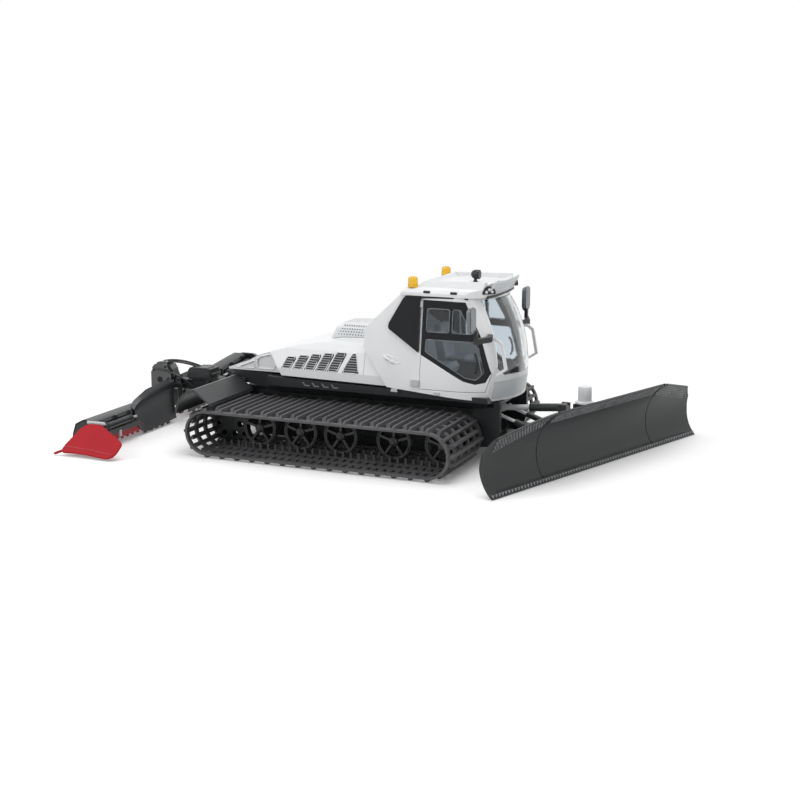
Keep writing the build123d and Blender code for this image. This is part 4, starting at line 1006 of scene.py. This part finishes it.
# %% Louvre slats
slats = bmesh.new()
slat_pitch, slat_half = 2.3, 0.35
for side in (-1, 1):
    leaning = Vector((0, -side * math.sin(lean), math.cos(lean)))
    facing = Vector((0, side * math.cos(lean), math.sin(lean)))
    for outline in louvres:
        (rear, low), (front, _), (top_front, high), (top_rear, _) = outline
        count = round((high - low) / slat_pitch)
        for k in range(1, count):
            share = k / count
            b = low + (high - low) * share
            left_x, right_x = rear + (top_rear - rear) * share - 0.3, front + (top_front - front) * share + 0.3
            shape = [(left_x, b - slat_half), (right_x, b - slat_half), (right_x, b + slat_half),
                     (left_x, b + slat_half)]
            add_plate(slats, shape, Vector((0, side * side_foot[0], side_foot[1])) + facing * 0.1, (1, 0, 0),
                      leaning, -side * 0.35, 0.1)
# The slats' pale grey is a painted sheen on black plastic.
finish_piece("louvre_slats", slats, "black_plastic", "chassis", finish="painted_sheen")
print("slat pitch", slat_pitch)

# %% [markdown]
# Four hooked marks are moulded on the side of the body tray below the louvres. They stand a little proud, and
# their grey, paler than the dark tray, is a painted highlight on the moulded steps.

# %% Tray marks
marks = bmesh.new()
for side in (-1, 1):
    for n in range(4):
        x = -70.0 + 10.4 * n
        outline = ((x, 66.0), (x + 1.3, 66.0), (x + 3.4, 63.4), (x + 8.0, 63.4), (x + 8.0, 62.2), (x + 2.6, 62.2))
        add_plate(marks, outline, (0, side * (56.0 if side < 0 else 56.5), 0), (1, 0, 0), (0, 0, 1), 0.5, 0.12)
# The marks' grey is a painted highlight on the moulded steps.
finish_piece("tray_marks", marks, "grey_shell", "chassis", finish="mirror_shell")
print("tray marks", 4 * len(sides))

# %% [markdown]
# The tiller's two halves are mirror images, and the left one stands raised by seven degrees. So each piece is
# drawn for the right half only, and a matrix mirrors it and turns it about the left half's hinge. A mirror
# modifier could not raise it, and a second drawing would drift away from the first.

# %% The two halves of the tiller
def turn_about(y, z, degrees_up):
    """A turn about a lengthwise axis through a point."""
    there = Matrix.Translation(Vector((0, y, z)) * mm)
    return there @ Matrix.Rotation(math.radians(degrees_up), 4, "X") @ there.inverted()


def between(value, stops):
    """The height on a broken line at a place across the tiller."""
    for (low, start), (high, end) in zip(stops, stops[1:]):
        if value <= high:
            return start + (end - start) * (value - low) / (high - low)
    return stops[-1][1]


mirrored = Matrix.Diagonal((1, -1, 1, 1))
raised = turn_about(8.0, 40.0, 7.0)
half_turns = {"right": None, "left": raised @ mirrored}
flap_turns = {"right": None, "left": raised @ turn_about(152.6, 29.0, -7.4) @ mirrored}
inner_end, outer_end, shield_end = 11.0, 150.0, 86.0
print("tiller halves", len(half_turns))

# %% [markdown]
# The shield closes the front of each half, nearly to the ground. It is wide at the head and runs out to a point,
# and its top rolls back to catch the light. A flat plate would miss that roll, so it is a sheet through rows of
# points between three edges: the foot, the crease where the roll starts, and the top.

# %% Tiller shields
shield_top = ((inner_end, 47.0), (57.4, 43.6), (70.0, 39.4), (82.5, 35.0), (shield_end, 31.0))
shield_crease = ((inner_end, 41.3), (73.0, 35.2), (82.5, 31.5), (shield_end, 28.0))
shield_foot = ((inner_end, 5.0), (66.0, 2.2), (72.0, 3.0), (80.0, 7.5), (shield_end, 14.5))
columns = [inner_end + (shield_end - inner_end) * k / 16 for k in range(17)]
for name, turned in half_turns.items():
    shield = bmesh.new()
    rows = []
    for share in (0.0, 0.25, 0.5, 0.75, 0.93):
        x = -245.8 - 2.2 * math.sin(math.pi * share * 0.8)
        edges = [(y, between(y, shield_foot), between(y, shield_crease)) for y in columns]
        rows.append([(x, -y, low + (high - low) * share) for y, low, high in edges])
    for share in (0.12, 0.5, 1.0):
        edges = [(y, between(y, shield_crease), between(y, shield_top)) for y in columns]
        rows.append([(-247.3 - 4.6 * share, -y, low + (high - low) * share) for y, low, high in edges])
    add_sheet(shield, rows, 1.6)
    for k in range(5):
        y = -(24.0 + 11.0 * k)
        add_plate(shield, ((y - 2.4, 1.0), (y + 2.4, 1.0), (y + 2.9, 7.0), (y - 2.9, 7.0)), (-247.6, 0, 0),
                  (0, 1, 0), (0, 0, 1), 1.6, 0.3)
    finish_piece("tiller_shield_" + name, shield, "dark_grey_plastic", "tiller_" + name,
                 ("tiller_cover_" + name,), turned)
print("shield columns", len(columns))

# %% [markdown]
# The hood is a curved cover over the rotor, open below and in front. One profile makes it: a sheet along the half
# and two end plates with the same outline. A bar, three posts and a bracket carry what is fixed to its front.

# %% Tiller hoods
hood_profile = ((-248.8, 9.0), (-248.8, 26.4), (-250.6, 29.2), (-254.2, 30.4), (-264.0, 30.2), (-273.0, 25.6),
                (-276.4, 16.0), (-277.8, 8.6))
end_profile = ((-248.8, 10.0), *hood_profile[1:-1], (-277.2, 12.0))
end_depth, bar_z, bar_top = 1.8, 13.6, 19.0
for name, turned in half_turns.items():
    hood = bmesh.new()
    add_sheet(hood, [[(x, -y, z) for y in (inner_end, 60.0, 105.0, outer_end)] for x, z in hood_profile], 1.3)
    for y in (-inner_end, -outer_end + end_depth):
        add_plate(hood, end_profile, (0, y, 0), (1, 0, 0), (0, 0, 1), end_depth, 0.3)
    add_plate(hood, ((-outer_end, bar_z), (-84.0, bar_z), (-84.0, bar_top), (-outer_end, bar_top)),
              (-249.0, 0, 0), (0, 1, 0), (0, 0, 1), 8.0, 0.5)
    for y in (-143.0, -118.0, -93.0):
        add_plate(hood, ((y, bar_z), (y + 2.4, bar_z), (y + 2.4, 30.0), (y, 30.0)), (-250.0, 0, 0),
                  (0, 1, 0), (0, 0, 1), 3.6, 0.4)
    bracket = ((-256.6, 18.0), (-236.4, 18.0), (-236.4, 28.6), (-240.0, 30.6), (-253.0, 30.6), (-256.6, 28.6))
    add_plate(hood, bracket, (0, -outer_end + 0.2, 0), (1, 0, 0), (0, 0, 1), 2.2, 0.4)
    finish_piece("tiller_hood_" + name, hood, "dark_grey_plastic", "tiller_" + name, turned=turned, smooth_below=24)
print("hood corners", len(hood_profile))

# %% [markdown]
# A small ram lies along the front of each half, with two clamps, bright pins and the pin of the side flap. All of
# them are turned, so each is a rod with a radius for every step of its profile.

# %% Tiller rams and pins
ram_x, ram_z = -243.6, 22.9
for name, turned in half_turns.items():
    ram = bmesh.new()
    add_rod(ram, [(ram_x, y, ram_z) for y in (-146.0, -145.2, -97.0, -96.2)], [2.6, 3.5, 3.5, 2.6], 20)
    add_rod(ram, [(ram_x, y, ram_z) for y in (-148.4, -146.0)], 1.6, 12)
    for y in (-140.0, -101.0):
        add_rod(ram, [(ram_x, y, ram_z), (ram_x, y + 2.4, ram_z)], 4.0, 20)
    finish_piece("tiller_ram_" + name, ram, "black_plastic", "tiller_" + name, turned=turned)
    pins = bmesh.new()
    add_rod(pins, [(ram_x, y, ram_z) for y in (-96.2, -88.0)], 1.3, 12)
    add_rod(pins, [(-241.0, -121.0, z) for z in (9.4, 9.8, 15.6, 16.0)], [1.2, 1.6, 1.6, 1.2], 12)
    for y in (-128.0, -108.0):
        add_rod(pins, [(-245.0, y, z) for z in (19.0, 20.2, 20.5)], [1.7, 1.6, 1.0], 6)
    add_rod(pins, [(x, -152.6, 29.0) for x in (-256.8, -256.2, -237.0, -236.2)], [1.1, 1.7, 1.7, 1.1], 14)
    finish_piece("tiller_pins_" + name, pins, "silver_plastic", "tiller_" + name, turned=turned)
print("ram at", ram_x, ram_z)

# %% [markdown]
# A red comb smooths the snow under the outer part of each half. Its teeth repeat along a line, so they are one
# tooth on the path tree, hung below a red strip.

# %% Tiller combs
comb = bmesh.new()
add_plate(comb, ((-1.7, -1), (1.7, -1), (1.2, 3.4), (-0.2, 4.2), (-1.2, 3.4)), (0, 0.8, 0),
          (1, 0, 0), (0, 0, 1), 1.6, 0.2)
comb_teeth = 9
for name, turned in half_turns.items():
    strip = bmesh.new()
    add_plate(strip, ((-149.0, 6.4), (-72.0, 6.4), (-72.0, 12.6), (-149.0, 12.6)), (-247.2, 0, 0), (0, 1, 0),
              (0, 0, 1), 1.8, 0.4)
    finish_piece("tiller_comb_bar_" + name, strip, "red_plastic", "tiller_" + name, turned=turned)
    path = [(-246.3, -73.0 - 74.0 * k / 8, 5.4) for k in range(9)]
    repeat_along("tiller_comb_teeth_" + name, path, comb, comb_teeth, (1.0, 0.0, 0.0), "red_plastic",
                 "tiller_" + name, turned=turned)
print("comb teeth", 2 * comb_teeth)

# %% [markdown]
# The side flaps are bright red plates with rounded corners, a fold along the lower edge and a short tongue at
# the rear. The flap's plane leans out from its hinge, so its pieces are drawn in that plane's own two axes.

# %% Side flaps
slope_up, out = Vector((0, 1, 1)).normalized(), Vector((0, -1, 1)).normalized()
hinge = Vector((0, -152.6, 29.0))
flap_edge = ((-256.0, -4.2), (-252.0, -2.2), (-238.5, -2.2), (-234.0, -4.8), (-209.6, -18.2), (-207.2, -20.2),
             (-206.6, -23.4), (-208.4, -32.6), (-211.2, -36.6), (-216.4, -38.9), (-224.0, -38.6), (-240.0, -37.0),
             (-256.0, -36.6), (-266.6, -37.4), (-269.6, -36.0), (-270.4, -32.6), (-269.0, -27.6), (-260.4, -8.6))
tongue = ((-269.6, -36.4), (-268.0, -32.4), (-277.0, -37.4), (-277.8, -39.4), (-275.4, -39.6))
fold_line = ((-268.6, -30.8), (-262.0, -30.4), (-240.0, -31.2), (-222.0, -33.2), (-211.6, -34.0))
for name, turned in flap_turns.items():
    plate = bmesh.new()
    add_plate(plate, flap_edge, hinge, (1, 0, 0), slope_up, 2.0, 0.7)
    add_plate(plate, tongue, hinge, (1, 0, 0), slope_up, 1.8, 0.5)
    finish_piece("side_flap_" + name, plate, "red_plastic", "flap_" + name, ("tiller_flap_" + name,), turned)
    fold = bmesh.new()
    add_rod(fold, [hinge + Vector((x, 0, 0)) + slope_up * v + out * 1.7 for x, v in fold_line], 0.9, 8)
    for x in (-251.0, -242.0):
        add_rod(fold, [hinge + Vector((x - 2.0, 0, 0)), hinge + Vector((x + 2.0, 0, 0))], 1.5, 12)
    finish_piece("flap_fold_" + name, fold, "red_plastic", "flap_" + name, turned=turned)
print("flap corners", len(flap_edge))

# %% [markdown]
# Between the halves stands a tall bracket in a glossy, faceted casing. Its facets catch the light, so it is one
# outline with a wide bevel that stays sharp between the facets. A boss and three bolt heads sit on its side.

# %% Bracket casing
casing = bmesh.new()
casing_edge = ((-277.9, 33.0), (-277.9, 54.6), (-271.6, 62.2), (-263.0, 64.6), (-255.0, 63.2), (-249.0, 54.0),
               (-248.2, 46.0), (-252.6, 39.0), (-262.0, 34.4), (-270.0, 32.0))
casing_half = 8.4
add_plate(casing, casing_edge, (0, casing_half, 0), (1, 0, 0), (0, 0, 1), 2 * casing_half, 2.8)
finish_piece("bracket_casing", casing, "dark_grey_plastic", "tiller_head", smooth_below=20, finish="casing_gloss")
boss = bmesh.new()
add_rod(boss, [(-265.0, y, 44.5) for y in (-8.0, -8.6, -8.7)], [3.6, 3.2, 1.0], 20)
for x, z in ((-272.4, 54.6), (-258.0, 58.8), (-254.8, 46.2)):
    add_rod(boss, [(x, y, z) for y in (-8.0, -9.0, -9.2)], [1.5, 1.4, 0.9], 6)
finish_piece("bracket_boss", boss, "black_plastic", "tiller_head", finish="black_gloss")
print("casing corners", len(casing_edge))

# %% [markdown]
# Three hoses loop forward from the casing to the gear housing. On the toy they are stiff mouldings that don't
# hang, so each is a rod on a smooth path. A curve with a bevel would do too, but the rod is closed at its ends.

# %% Hoses, jack and gear housing
hose_r = 1.0
hose_lines = [[(-266, y, 63.0 + rise / 2), (-252, y, 66.4 + rise), (-236, y, 65.4 + rise),
               (-219, y * 1.6, 59.6)] for y, rise in ((2.4, 0.0), (-0.6, -1.6))]
hose_lines.append([(-272.4, -8.6, 55.6), (-250, -10.4, 56.0), (-233, -8.6, 47.6), (-226, -5.0, 40.0)])
hoses = bmesh.new()
for line in hose_lines:
    add_rod(hoses, smooth_path(line, 14), hose_r, 10)
finish_piece("tiller_hoses", hoses, "black_plastic", "tiller_head")
jack, jack_x, jack_y = bmesh.new(), -241.5, -6.4
add_rod(jack, [(jack_x, jack_y, z) for z in (13.0, 14.0, 44.0, 45.0)], [2.0, 2.6, 2.6, 2.0], 18)
for z in (11.4, 46.4):
    add_rod(jack, [(jack_x, jack_y + y, z) for y in (-2.6, -2.2, 2.2, 2.6)], [1.6, 2.4, 2.4, 1.6], 14)
finish_piece("tiller_jack", jack, "black_plastic", "tiller_head")
housing, housing_half = bmesh.new(), 9.6
housing_edge = ((-232.0, 47.0), (-232.0, 55.0), (-228.0, 60.4), (-205.0, 61.0), (-201.0, 57.0), (-201.0, 51.0))
add_plate(housing, housing_edge, (0, housing_half, 0), (1, 0, 0), (0, 0, 1), 2 * housing_half, 2.2)
finish_piece("gear_housing", housing, "dark_grey_plastic", "tiller_head", smooth_below=28)
print("hoses", len(hose_lines))

# %% [markdown]
# Below the tub's floor is a black plate, as wide as the tub, with sloping ends. It is partly the tub's underside
# and partly a dark plate put where there is only shade: it closes the gap that would show between the wheels.

# %% Underside plate and painted shade
underside_and_shade_plate, underside_and_shade_half = bmesh.new(), 37.6
add_plate(underside_and_shade_plate, ((-138.0, 13.2), (-126.0, 4.5), (82.0, 4.5), (98.0, 13.2)), (0, underside_and_shade_half, 0),
          (1, 0, 0), (0, 0, 1), 2 * underside_and_shade_half, 1.0)
# A dark plate where there is only shade, partly the tub's underside.
finish_piece("tub_keel", underside_and_shade_plate, "black_plastic", "chassis")
print("keel width", 2 * underside_and_shade_half)
